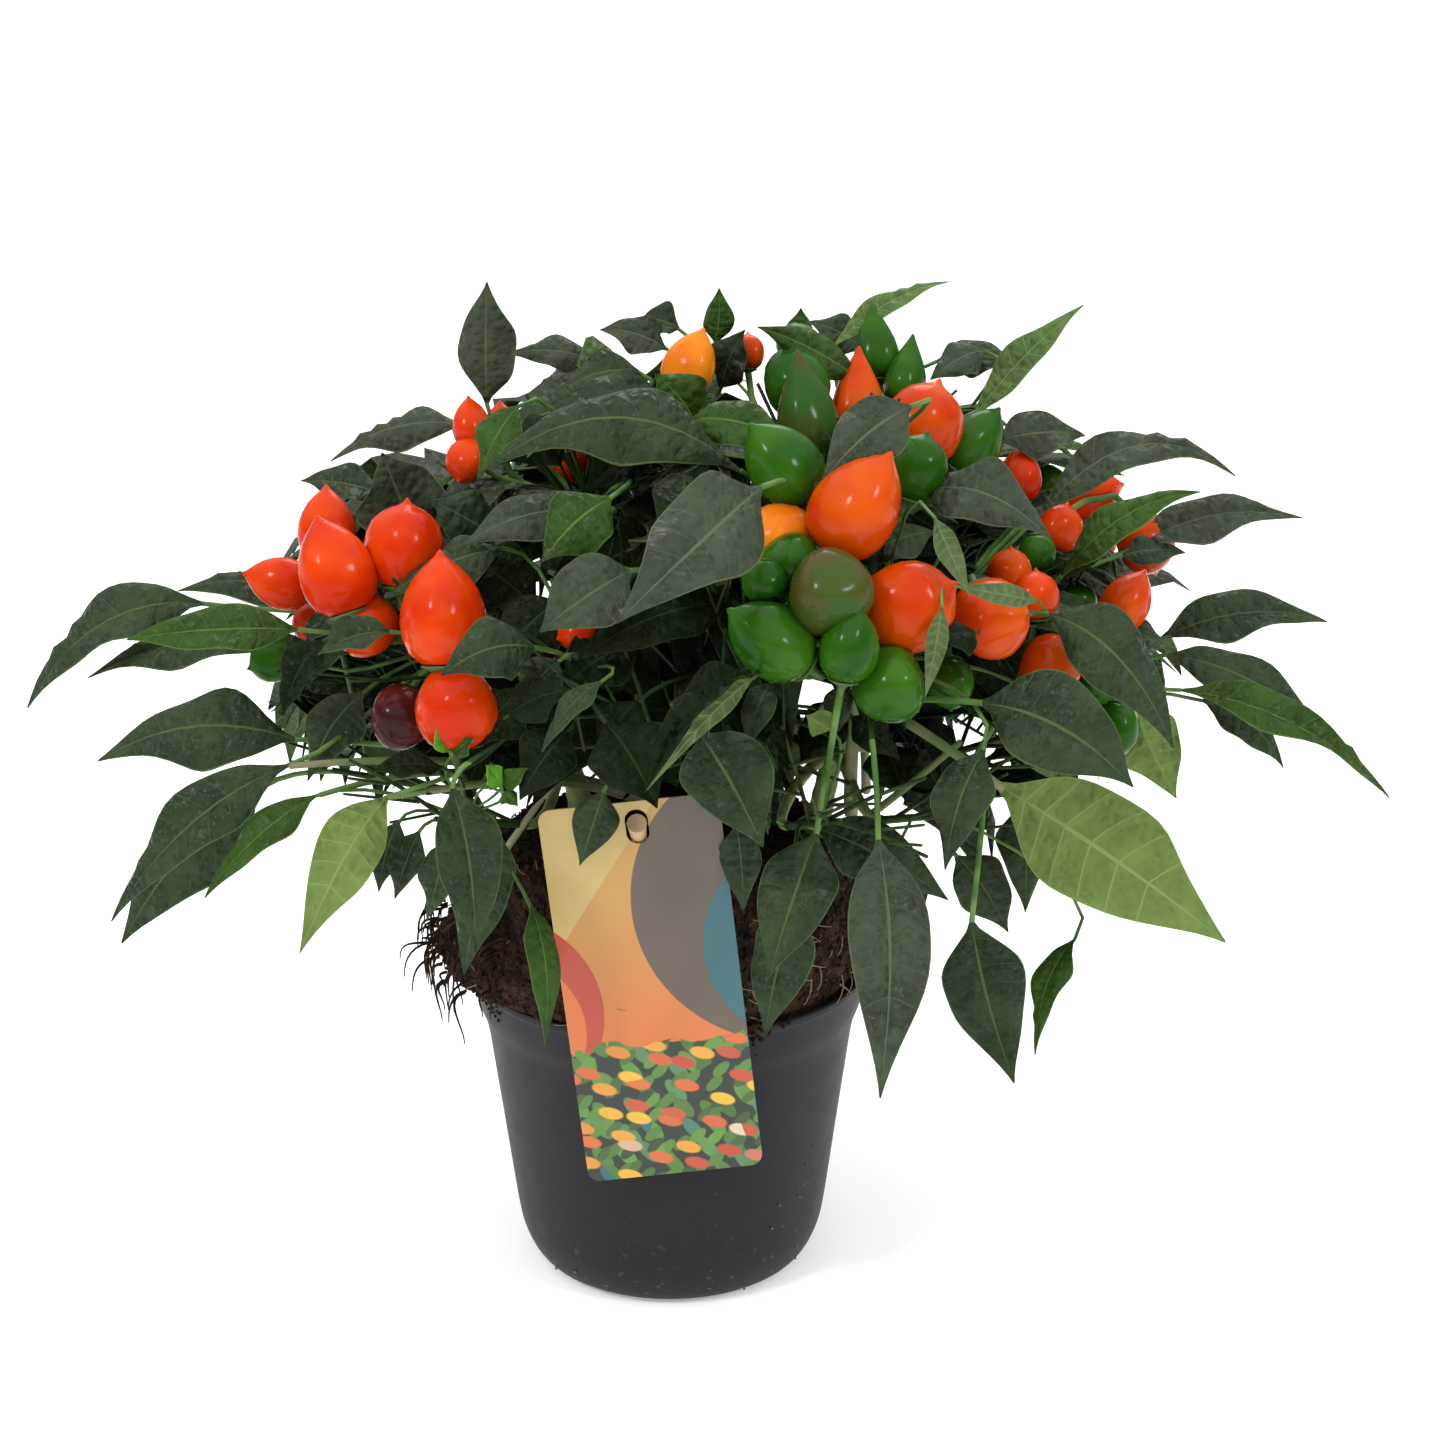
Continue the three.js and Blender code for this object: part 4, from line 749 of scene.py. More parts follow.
def barkedLimb(name, line, radii, sides, node):  # ridged along its length, a little uneven
    heap, rings = Heap(), []
    side = unit(np.cross(unit(line[1] - line[0]), (0.31, 0.2, 0.9)))
    for k, point in enumerate(line):
        axis = unit(line[min(k + 1, len(line) - 1)] - line[max(k - 1, 0)])
        side = unit(side - axis * np.dot(side, axis))
        up = np.cross(axis, side)
        for s in range(sides):
            angle = 2 * math.pi * s / sides
            ridge = (1 + limbSettings["ridge"] * math.sin(5 * angle + k * 0.25)
                     + limbSettings["uneven"] * math.sin(k * 1.7 + angle))
            rings.append(point + radii[k] * ridge * (side * math.cos(angle) + up * math.sin(angle)))
    rings += [line[0], line[-1]]
    first, last, end = len(rings) - 2, len(rings) - 1, (len(line) - 1) * sides
    caps = []
    for s in range(sides):
        after = (s + 1) % sides
        caps += [(first, after, s), (last, end + s, end + after)]
    heap.add(rings, tube(len(line), sides), 0)
    heap.join(caps, 0)
    keep(heap.build(name, [stemGreen.material]), "stem_bark", node)


for name, size in stems.items():
    shares = np.linspace(0, 1, limbSettings["stemRings"])
    radii = np.interp(shares, (0, 1), limbSettings["stemRadius"]) + limbSettings["flare"] * (1 - shares) ** 8
    barkedLimb("woody_stem_" + name, bezier(stemPoints(size), shares), radii, limbSettings["stemSides"],
               "stem_" + name)
stemMasses = {name: [m for m in masses if m["stem"] == name] for name in stems}
limbLines = []
for index, mass in enumerate(masses):
    others = stemMasses[mass["stem"]]
    corners = boughPoints(index, others.index(mass) / (len(others) - 1))
    line = curve(corners, limbSettings["boughRings"])
    limbLines.append(line)
    radii = np.linspace(*crown["boughRadii"], limbSettings["boughRings"])
    barkedLimb("limb_" + mass["name"], line, radii, limbSettings["boughSides"], "bough_" + mass["name"])
print("limbs: %d stems and %d boughs" % (len(stems), len(masses)))

# What shows: each leaf and fruit hangs on the nearest limb that lies behind its foot

hold = {"firstRing": 8, "leaderShares": (0.3, 0.65), "near": 12, "nearCost": 60, "besideCost": 0.6}
shownLeaf = {"draw": 40, "twists": (-12, 12), "sway": 0.4, "widthShare": 0.93, "lift": 0.8}
shownStalk = {"thick": 0.45, "thicker": 0.02, "rootShare": 0.8, "root": 1.1}
fruitStalk = {"capShare": 0.58, "radii": (1.1, 1.5)}
twigLines = {name: [] for name in stems}
stalkLines = {"leaf": [], "fruit": []}
holds, holdMasses = [], []
for index, mass in enumerate(masses):
    base = heart + aims[index] * (mass["reach"] + crown["gap"])
    tip = base + aims[index] * crown["leader"]
    twigLines[mass["stem"]].append(graded(np.array([base, (base + tip) / 2, tip]), *crown["leaderRadii"]))
    spots = [*limbLines[index][hold["firstRing"]:], *(base + (tip - base) * t for t in hold["leaderShares"])]
    holds += spots
    holdMasses += [index] * len(spots)
holds = np.array(holds)


def nearestHold(foot, away):  # close by, and behind the foot rather than beside it
    off = foot - holds
    far = np.linalg.norm(off, axis=1)
    behind = off @ away / far
    cost = far + hold["nearCost"] * (far < hold["near"]) + far * hold["besideCost"] * (1 - behind)
    k = int(np.argmin(cost))
    return holds[k], holdMasses[k]


def seenLeaf(item, row):
    across, down, tipAcross, tipDown, back, tipBack, width, arch, turn, tint = row[:10]
    foot, tip = seenAt(across, down, back), seenAt(tipAcross, tipDown, tipBack)
    along = unit(tip - foot)
    viewer = unit(eye - (foot + tip) / 2)
    facing = unit(viewer - along * np.dot(viewer, along))
    aside = np.cross(along, facing)
    aside = aside * (1 if aside[2] >= 0 else -1)
    normal = facing * math.cos(radians(turn)) + aside * math.sin(radians(turn))
    style = leafStyle(shownLeaf["draw"], item)
    style["hook"] = 0
    style["twist"] = between(shownLeaf["twists"], shownLeaf["draw"], item, 24)
    style["sway"] *= shownLeaf["sway"]
    if len(row) > 10:
        style["fold"] = row[10]
    face = normal if turn < 90 else -normal
    return {"foot": foot, "along": along, "length": np.linalg.norm(tip - foot), "arch": arch,
            "width": width * shownLeaf["widthShare"], "normal": normal, "tint": tint,
            "lift": unit(face + np.array([0, 0, shownLeaf["lift"]])), **style}


shown = []
ownStalks = {line[-1][:2]: [seenAt(*spot) for spot in line] for line in seenStalks}
for item, row in enumerate(seenLeaves):
    leaf = seenLeaf(item, row)
    own = ownStalks.get(row[:2])
    root, index = nearestHold(own[0] if own else leaf["foot"], leaf["along"])
    addLeaf(leaf, index, True)
    shown.append(bladePoints(leaf, evenGrid))
    end = bladeStart(leaf)
    thick = shownStalk["thick"] + leaf["width"] * shownStalk["thicker"]
    dark = twigLines[masses[index]["stem"]]
    if own:
        stalkLines["leaf"].append(graded(curve([*own, own[-1] + end], 9), thick, thick))
        dark.append(graded(stalkLine(root, own[0], unit(own[1] - own[0]), 6), shownStalk["root"], thick))
    else:
        # A leaf in painted shade (tint k) gets its stalk in the twigs' darker skin, painted shade too.
        near = dark if leaf["tint"] == "k" else stalkLines["leaf"]
        near.append(graded(stalkLine(root, leaf["foot"], end), thick * shownStalk["rootShare"], thick))
fruitSpots = []


def hangFruit(fruit):
    cap = fruit["middle"] - fruit["nose"] * fruit["width"] * fruitStalk["capShare"]
    line = stalkLine(nearestHold(cap, fruit["nose"])[0], cap, fruit["nose"])
    stalkLines["fruit"].append(graded(line, *fruitStalk["radii"]))
    fruitSpots.append(fruit)


for item, (across, down, back, width, way, lean, ripeness, shape) in enumerate(seenFruits):
    middle = seenAt(across, down, back)
    nose = pictureRight * math.cos(radians(way)) + pictureUp * math.sin(radians(way))
    nose = unit(nose * math.cos(radians(lean)) - forward * math.sin(radians(lean)))
    hangFruit({"middle": middle, "nose": nose, "width": width, "ripeness": ripeness, "shape": shape,
               "spin": 360 * chance(item, 1, 31)})

# Twigs and leaves that grow by the rule, but for those that would hide what shows

veilSettings = {"cell": 9, "margin": 2, "tagAcross": (545, 760), "tagDown": (800, 1190), "tagBack": -92}


def veilCells(points):
    for x, y, depth in zip(*picturePlace(points)):
        yield (int(x // veilSettings["cell"]), int(y // veilSettings["cell"])), depth


veil = {}
balls = [s["middle"] + toward(b, p) * s["width"] / 2 for s in fruitSpots
         for b in range(0, 360, 15) for p in range(-75, 90, 15)]
cardSpots = [seenAt(x, y, veilSettings["tagBack"]) for x in range(*veilSettings["tagAcross"], 6)
             for y in range(*veilSettings["tagDown"], 6)]
for cell, depth in veilCells(np.concatenate([*shown, balls, cardSpots])):
    veil[cell] = min(depth, veil.get(cell, 1e9))


def insideLine(x, y, line):  # even-odd
    inside = np.zeros(len(x), bool)
    for (x1, y1), (x2, y2) in zip(line, line[1:] + line[:1]):
        if y1 != y2:
            inside ^= ((y1 > y) != (y2 > y)) & (x < (x2 - x1) * (y - y1) / (y2 - y1) + x1)
    return inside


def againstSky(points):  # outside the foliage of the picture, or in a gap of it
    x, y, _ = picturePlace(points)
    x, y = x + pictureMiddle, pictureMiddle - y
    return bool((~insideLine(x, y, crownEdge)).any() or any(insideLine(x, y, gap).any() for gap in skyGaps))


fruitRule = {"tries": 90, "size": (20, 31), "bearings": (5, 175), "rises": (0, 50), "share": 0.82,
             "apart": 0.6, "noses": (30, -70), "spin": 137, "margin": 1.5,
             "ripeness": "rgogratgor", "shapes": ["round", "pointed", "round"]}
ball = np.array([toward(b, p) for b in range(0, 360, 20) for p in range(-80, 90, 20)])
for k in range(fruitRule["tries"]):  # on the side away from the picture
    bearing, rise, width = (between(fruitRule[key], k, n, 71) for n, key in
                            enumerate(("bearings", "rises", "size")))
    middle = (crown["middleX"], 0, heart[2]) + toward(bearing, rise) * crown["half"] * fruitRule["share"]
    apart = all(np.linalg.norm(middle - s["middle"]) > fruitRule["apart"] * (width + s["width"])
                for s in fruitSpots)
    if apart and not againstSky(middle + ball * width):
        hangFruit({"middle": middle, "nose": toward(bearing, between(fruitRule["noses"], k, 3, 72)),
                   "width": width, "shape": fruitRule["shapes"][k % 3],
                   "ripeness": fruitRule["ripeness"][k % 10], "spin": fruitRule["spin"] * k})
fruitMiddles = np.array([s["middle"] for s in fruitSpots])
fruitReach = np.array([s["width"] / 2 + fruitRule["margin"] for s in fruitSpots])


def clearOfFruit(points):
    return bool((np.linalg.norm(points[:, None] - fruitMiddles, axis=2) > fruitReach).all())


def hides(points):
    return any(depth < veil.get(cell, 0) - veilSettings["margin"] for cell, depth in veilCells(points))


rule = {
    "turns": [0, 56, -56, 100, -100], "places": [0.97, 0.84, 0.7, 0.56, 0.42], "tilts": (24, 64),
    "spans": (30, 64), "spin": 137.5, "shrinks": (1, 0.7, 0.4), "sag": 1.5, "radii": (1.0, 0.9, 0.75),
    "leafLength": (70, 104), "widthShare": 0.46, "arches": (0.06, 0.14), "stalk": 15, "aside": (-15, 15),
    "pitches": (14, -42), "rolls": (-25, 25), "tries": (1, 0.75, 0.5, 0.25, 0), "smallest": 0.7,
    "finer": 3, "finerPlaces": [0.95, 0.6, 0.3], "finerTurns": [0, 70, -70], "finerSpans": (18, 34),
    "finerSize": 0.8, "finerDraw": 300, "inner": 8, "innerRings": (6, 15), "innerTurn": 75,
    "innerDraw": 2000, "stalkRadii": (0.8, 0.6), "innerRadii": (0.9, 0.7),
}
# Rule leaves get tint k, painted shade, deep in the crown; elsewhere d, g with painted sheen, or f, by
# chance.
tintRule = {"rise": 0.25, "shade": (0.3, 0.8), "dark": 0.66, "grey": 0.86}
grown = 0


def tintAt(spot, pick):  # painted shade: the much darker tint k inside the crown and low down
    off = (spot - heart) / crown["half"]
    if np.interp(pick, (0, 1), tintRule["shade"]) > np.linalg.norm(off) + tintRule["rise"] * off[2]:
        return "k"
    return "d" if pick < tintRule["dark"] else "g" if pick < tintRule["grey"] else "f"


def ruleLeaf(index, item, base, course, turn, size):
    bearing = math.degrees(math.atan2(course[1], course[0])) + turn + between(rule["aside"], index, item, 6)
    pitch = between(rule["pitches"], index, item, 7) + masses[index]["aim"][1] * 0.2
    length = size * between(rule["leafLength"], index, item, 8)
    along = toward(bearing, pitch)
    level = np.array([-math.sin(radians(bearing)), math.cos(radians(bearing)), 0])
    side = turned(level, along, between(rule["rolls"], index, item, 10))
    foot = base + toward(bearing, pitch * 0.4 + 18) * rule["stalk"]
    return {"foot": foot, "along": along, "length": length, "width": length * rule["widthShare"],
            "arch": between(rule["arches"], index, item, 9), "normal": np.cross(along, side),
            "lift": toward(bearing, pitch + 90),
            "tint": tintAt(base, chance(index, item, 11)), **leafStyle(index, item)}


def free(points):
    return clearOfPot(points) and clearOfFruit(points) and not againstSky(points) and not hides(points)


def fits(points, index):
    return insideWedge(points, index) and insideCrown(points, masses[index]["room"]) and free(points)


def addGrown(leaf, index, root, end, radii):  # a leaf with its stalk
    addLeaf(leaf, index, False)
    line = stalkLine(root, leaf["foot"], end, 4)
    twigLines[masses[index]["stem"]].append(graded(line, *radii))


def leafOn(index, item, base, course, turn, scale=1.0):
    for share in rule["tries"]:
        size = scale * (rule["smallest"] + (1 - rule["smallest"]) * share)
        leaf = ruleLeaf(index, item, base, course, share * turn, size)
        if fits(bladePoints(leaf, grids[False]), index):
            addGrown(leaf, index, base, bladeStart(leaf), rule["stalkRadii"])
            return 1
    return 0


for index, mass in enumerate(masses):
    aim = aims[index]
    aside = unit(np.cross((0, 0, 1), aim))
    base = heart + aim * (mass["reach"] + crown["gap"])
    twigs = twigLines[mass["stem"]]
    for t in range(mass["twigs"]):
        spin = rule["spin"] * t + 360 * chance(index, 0, 4)
        tilt = between(rule["tilts"], index, t, 3)
        root = base + aim * crown["leader"] * (0.1 + 0.9 * t / mass["twigs"])
        span = between(rule["spans"], index, t, 5)
        for share in rule["shrinks"]:
            course = turned(turned(aim, aside, tilt * share), aim, spin)
            tip = root + course * span
            if fits(np.array([(root + tip) / 2, tip]), index):
                break
        else:
            continue
        twigs.append(graded(np.array([root, (root + tip) / 2 + (0, 0, rule["sag"]), tip]), *rule["radii"]))
        for k, turn in enumerate(rule["turns"]):
            grown += leafOn(index, 10 * t + k, root + (tip - root) * rule["places"][k], course, turn)
        for n in range(rule["finer"]):
            item = rule["finerDraw"] + 10 * t + 3 * n
            start = root + (tip - root) * (0.3 + 0.3 * n)
            way = unit(course * 0.6 + turned(turned(course, aim, 90), aim, 120 * n) * 0.8)
            end = start + way * between(rule["finerSpans"], index, item, 12)
            if not fits(np.array([end]), index):
                continue
            twigs.append(graded(np.array([start, end]), *rule["stalkRadii"]))
            for k, turn in enumerate(rule["finerTurns"]):
                spot = start + (end - start) * rule["finerPlaces"][k]
                grown += leafOn(index, item + 500 * (k + 1), spot, way, turn, rule["finerSize"])
    line = limbLines[index]
    for n in range(rule["inner"]):  # leaves of the limb itself, inside the crown
        k = int(np.interp(n / rule["inner"], (0, 1), rule["innerRings"]))
        course = unit(line[min(len(line) - 1, k + 1)] - line[k - 1])
        turn = rule["innerTurn"] * (1 if n % 2 else -1)
        leaf = ruleLeaf(index, rule["innerDraw"] + n, line[k], course, turn, rule["finerSize"])
        points = bladePoints(leaf, grids[False])
        if insideCrown(points) and free(points):
            addGrown(leaf, index, line[k], leaf["along"], rule["innerRadii"])
            grown += 1
# Two in three of the deep leaves take tint k, painted shade.
deepRule = {"count": 2600, "across": (290, 1180), "down": (350, 850), "middle": (700, 540), "fan": 300,
            "plane": -60, "depth": (0.15, 0.88), "droop": 0.5, "leans": (0.2, 0.7), "lengths": (45, 80),
            "widths": (24, 38), "arch": 0.1, "rolls": (-40, 40), "draw": 60, "tints": "kkd",
            "radii": (0.75, 0.6), "flattest": 0.02}
for k in range(deepRule["count"]):  # under the leaves that show, outward from the middle and drooping
    across, down = between(deepRule["across"], k, 0, 51), between(deepRule["down"], k, 1, 51)
    x, y, z = seenAt(across, down, deepRule["plane"])
    bulge = 1 - ((x - crown["middleX"]) / crown["half"][0]) ** 2 - ((z - heart[2]) / crown["half"][2]) ** 2
    depth = np.interp(chance(k, 3, 52), (0, 1), deepRule["depth"])
    foot = seenAt(across, down, -math.sqrt(max(deepRule["flattest"], bulge)) * crown["half"][1] * depth)
    right, fall = ((v - middle) / deepRule["fan"] for v, middle in zip((across, down), deepRule["middle"]))
    way = unit(pictureRight * right - pictureUp * (fall + deepRule["droop"])
               - forward * between(deepRule["leans"], k, 4, 53))
    viewer = unit(eye - foot)
    facing = unit(viewer - way * np.dot(viewer, way))
    leaf = {"foot": foot, "along": way, "length": between(deepRule["lengths"], k, 5, 54),
            "width": between(deepRule["widths"], k, 6, 55), "arch": deepRule["arch"],
            "normal": turned(facing, way, between(deepRule["rolls"], k, 7, 56)),
            "lift": unit(facing + np.array([0, 0, shownLeaf["lift"]])), "tint": deepRule["tints"][k % 3],
            **leafStyle(deepRule["draw"], k)}
    points = bladePoints(leaf, grids[False])
    if insideCrown(points) and free(points):
        root, index = nearestHold(foot, way)
        addGrown(leaf, index, root, way, deepRule["radii"])
        grown += 1
print("foliage: %d leaves by the rule" % grown)

# Each tint's colours, one to a zone of the blade. k is painted shade, a much darker copy of d; g is painted
# sheen, a lighter, greyer copy of d on top.
leafColours = {
    "k": ((0.0062, 0.0125, 0.0035), (0.016, 0.034, 0.008), (0.008, 0.016, 0.005), (0.03, 0.05, 0.015),
          (0.05, 0.08, 0.025)),
    "d": ((0.0235, 0.0385, 0.0165), (0.06, 0.1, 0.033), (0.03, 0.049, 0.021), (0.08, 0.12, 0.04),
          (0.14, 0.2, 0.075)),
    "g": ((0.036, 0.049, 0.028), (0.08, 0.11, 0.05), (0.045, 0.061, 0.034), (0.08, 0.12, 0.045),
          (0.13, 0.18, 0.07)),
    "f": ((0.025, 0.058, 0.0075), (0.075, 0.14, 0.03), (0.035, 0.075, 0.013), (0.125, 0.19, 0.048),
          (0.165, 0.24, 0.075)),
    "p": ((0.075, 0.13, 0.035), (0.16, 0.24, 0.08), (0.12, 0.19, 0.06), (0.15, 0.22, 0.07),
          (0.22, 0.3, 0.11)),
    "y": ((0.07, 0.2, 0.012), (0.16, 0.32, 0.04), (0.1, 0.25, 0.02), (0.15, 0.3, 0.04), (0.24, 0.4, 0.08)),
}
leafLook = {
    "gloss": {"shade": 0.05, "above": 0.11, "below": 0.08}, "rough": {"above": 0.42, "below": 0.55},
    "range": {"top": (0.62, 1.42), "under": (0.82, 1.2)}, "smooth": {"top": 0.26, "under": 0.42},
    "dust": (0.2, 0.18, 0.11), "dustShare": 0.55, "patches": 48, "mottle": 210, "puckers": 260,
    "dustGrains": 1500, "dustPlaces": 60, "bumps": 95,
}


def leafSkin(tint, zone, colour):
    side = "above" if zone in ("top", "lateral") else "below"
    skin = Finish("leaf_%s_%s" % (tint, zone), {
        "Specular IOR Level": leafLook["gloss"]["shade" if tint == "k" else side]})
    if zone not in leafLook["range"]:
        return skin.wear({"Base Color": (*colour, 1), "Roughness": leafLook["rough"][side]})
    patchy = (skin.steps(skin.noise(leafLook["patches"], 3), 0.34, 0.66) * 0.6
              + skin.noise(leafLook["mottle"], 3) * 0.4)
    quilt = skin.steps(skin.cells(leafLook["puckers"]), 0.0, 0.75)
    dim, bright = ([c * share for c in colour] for share in leafLook["range"][zone])
    face = skin.blend(patchy + quilt * 0.12 - 0.05, dim, bright)
    if zone == "top":
        dust = (skin.steps(skin.noise(leafLook["dustGrains"], 2, 0.6), 0.7, 0.76)
                * skin.steps(skin.noise(leafLook["dustPlaces"], 2), 0.42, 0.6))
        face = skin.blend(dust * leafLook["dustShare"], face, leafLook["dust"])
    return skin.wear({"Base Color": face, "Roughness": patchy * 0.24 + leafLook["smooth"][zone],
                      "Normal": skin.relief(skin.noise(leafLook["bumps"], 2) * 3 - quilt, 0.7, 0.0012)})


leafMaterials = [leafSkin(tint, zone, colour) for tint, colours in leafColours.items()
                 for zone, colour in zip(zoneNames, colours)]
for stem, heap in leafHeaps.items():
    leaves = heap.build("leaves_" + stem, leafMaterials)
    keep(leaves, "foliage", *["foliage_" + m["name"] for m in stemMasses[stem]])
    keep(sweep("twigs_" + stem, twigLines[stem], stalkSkins["twig"], 5), "foliage")
    print(stem, "leaves", sum(len(p.vertices) - 2 for p in leaves.data.polygons), "triangles")
for kind, lines in stalkLines.items():
    keep(sweep(kind + "_stalks", lines, stalkSkins["stalk"], 8), "foliage")
branchSkin = Finish("branch_blush", {"Specular IOR Level": 0.15})
blush = branchSkin.noise(45, 3)
branchSkin.wear({
    "Base Color": branchSkin.blend(branchSkin.steps(blush, 0.4, 0.62), (0.1, 0.17, 0.05), (0.2, 0.19, 0.1)),
    "Roughness": blush * 0.2 + 0.45})
branches = [graded(curve([seenAt(*spot) for spot in branch["spots"]], 14), *branch["radii"])
            for branch in seenBranches]
keep(sweep("branches", branches, branchSkin.material, 9), "stem_bark")

# Bodies of revolution: the carrier's points are the profile, X the radius and Z the height

def latheTree():
    nodes, given = growTree("lathe", {"Sides": "Int", "Lobes": "Float", "Material": "Material"})
    sides, profile = given.out("Sides"), given.out("Geometry")
    rings = nodes.node("GeometryNodeAttributeDomainSize", {"component": "MESH"}, {"Geometry": profile})
    grid = nodes.node("GeometryNodeMeshGrid", {}, {
        "Size X": 1.0, "Size Y": 1.0, "Vertices X": rings.out("Point Count"), "Vertices Y": sides + 1})
    index = nodes.node("GeometryNodeInputIndex").out()
    ring = nodes.node("ShaderNodeMath", {"operation": "FLOOR"}, {0: (index + 0.5) / (sides + 1)}).out()
    turn = (index - ring * (sides + 1)) / sides * (-2 * math.pi)
    spot = nodes.node("GeometryNodeSampleIndex", {"data_type": "FLOAT_VECTOR"}, {
        "Geometry": profile, "Index": ring, "Value": nodes.node("GeometryNodeInputPosition").out()})
    split = nodes.node("ShaderNodeSeparateXYZ", {}, {0: spot.out("Value")})
    wave = nodes.node("ShaderNodeMath", {"operation": "COSINE"}, {0: turn * 3}).out()
    radius = split.out("X") * (wave * given.out("Lobes") + 1)
    cosine = nodes.node("ShaderNodeMath", {"operation": "COSINE"}, {0: turn}).out()
    sine = nodes.node("ShaderNodeMath", {"operation": "SINE"}, {0: turn}).out()
    where = nodes.node("ShaderNodeCombineXYZ", {}, {
        "X": radius * cosine, "Y": radius * sine, "Z": split.out("Z")}).out()
    moved = nodes.node("GeometryNodeSetPosition", {}, {
        "Geometry": grid.out("Mesh"), "Position": where}).out()
    sewn = nodes.node("GeometryNodeMergeByDistance", {}, {"Geometry": moved, "Distance": 0.00001}).out()
    smooth = nodes.node("GeometryNodeSetShadeSmooth", {}, {"Geometry": sewn}).out()
    closeTree(nodes, smooth, given.out("Material"))
    return nodes


turning = latheTree()


def lathe(name, profile, sides, material, lobes=0.0):
    mesh = bpy.data.meshes.new(name + "_profile")
    mesh.from_pydata([(r * mm, 0, z * mm) for r, z in profile], [], [])
    return runTree(name, turning, {"Sides": sides, "Lobes": lobes, "Material": material}, mesh)


def rounded(corners):  # radius, height and rounding of each corner; an arc put in where it isn't 0
    points = []
    for k, (r, z, size) in enumerate(corners):
        here = np.array([r, z], float)
        if size == 0:
            points.append(here)
            continue
        first, last = (here + unit(way) * min(size, np.linalg.norm(way) * 0.5) for way in (
            np.array(corners[k - 1][:2]) - here, np.array(corners[(k + 1) % len(corners)][:2]) - here))
        for t in (0, 0.2, 0.4, 0.6, 0.8, 1):
            points.append(first * (1 - t) ** 2 + here * 2 * t * (1 - t) + last * t ** 2)
    return points


# The pot

potSettings = {
    "corners": [(0, 0, 0), (40, 0, 0), (52, 0, 3), (59.5, 2, 8), (65.5, 14, 10), (67.5, 26, 6), (73, 68, 0),
                (78.8, 111, 8), (82.4, 119, 8), (84.4, 131, 0.6), (85.4, 132, 0.6), (85.4, 134.8, 1),
                (83, 135, 1), (82.4, 133.6, 0.4), (76.6, 112, 2), (64.6, 24, 6), (52, 2.4, 2), (0, 2.4, 0)],
    "sides": 128,
}
potSkin = Finish("pot_anthracite", {"Specular IOR Level": 0.2})
potHeight = potSkin.axes()[2]
potGrain = potSkin.noise(90, 4)
specks = potSkin.steps(potSkin.noise(620, 2, 0.7), 0.7, 0.78)
soiled = potSkin.steps(potSkin.noise(210, 3), 0.63, 0.7) * potSkin.steps(potHeight, 0.05, 0.0)
plastic = potSkin.blend(potGrain, (0.009, 0.0094, 0.0112), (0.0146, 0.0153, 0.0176))
potSkin.wear({
    "Base Color": potSkin.blend(specks * 0.3 + soiled * 0.28, plastic, (0.2, 0.15, 0.11)),
    "Roughness": potGrain * 0.2 + 0.42 + specks * 0.2,
    "Normal": potSkin.relief(potSkin.noise(1300, 2), 0.12, 0.0004),
})
keep(lathe("pot_shell", rounded(potSettings["corners"]), potSettings["sides"], potSkin.material),
     "pot_plastic", "pot")
print("pot")

# The peat

peatSettings = {  # levels: height, radius, share of the lean over the rim, roughness
    "levels": [(2.8, 0, 0, 0), (2.7, 50, 0, 0), (24, 63.4, 0, 0), (111, 74.9, 0, 0), (134.6, 79.2, 0, 0.2),
               (136.6, 81.6, 0.75, 1), (143, 82.6, 1, 1.6), (149, 83, 1, 2), (158, 81.5, 0.8, 2.4),
               (167, 79, 0.55, 2.4), (176, 76.5, 0.35, 2.4), (184, 74, 0.2, 2.4), (189.5, 71, 0.1, 2),
               (193, 66, 0, 2), (194.6, 55, 0, 2), (195, 42, 0, 2), (195, 28, 0, 2), (195, 12, 0, 2),
               (195, 0, 0, 0)],
    "sides": 150, "loose": (134, 190), "packed": 0.2, "upward": 0.9, "stiff": 20,
    "crumbs": 4200, "crumbArea": 0.047, "crumbSize": (0.8, 4.2), "crumbFoot": 137.5,
    "spillDensity": 90000.0, "spillSize": (0.8, 3.2), "stuckDensity": 12000.0, "stuckSize": (0.5, 1.7),
    "fibres": 240, "fibreLevels": (138, 194), "fibreSpans": (5, 18), "fibreRadii": (0.35, 0.12),
    "spills": [(294, 12, 122, 138), (299, 20, 131, 139), (202, 34, 133, 141), (210, 16, 124, 138)],
    "stuck": [(222, 30, 3, 12), (231, 34, 1, 8), (318, 22, 10, 44), (326, 14, 6, 70), (305, 20, 2, 10)],
    "edge": [(0, 56), (2, 61), (14, 66.2), (26, 68.2), (68, 73.4), (111, 79.2), (131, 85), (140, 86)],
    "beard": {"count": 70, "bearings": (178, 224), "levels": (136, 170), "spans": (5, 17),
              "aside": (-70, 70), "falls": (10, -75), "radii": (0.75, 0.25),
              "wall": [(134, 83), (150, 84), (172, 80)]},
}


def spill(bearing):
    return soil["spillReach"] * max(0, math.cos(radians(bearing - soil["spillBearing"]))) ** 3


def lumps(x, y, z):  # waves of three sizes, never alike
    coarse = math.sin(x * 0.13 + 2 * math.sin(z * 0.11)) * math.cos(y * 0.15 + z * 0.08)
    middling = math.sin(x * 0.37 + 1.7) * math.sin(y * 0.41 + 2.1) * math.cos(z * 0.43)
    small = math.sin(x * 1.13 + y * 0.3) * math.sin(y * 1.27 - z * 0.5) * math.cos(z * 1.19 + x * 0.7)
    return 0.9 * coarse + 0.9 * middling + 0.8 * small


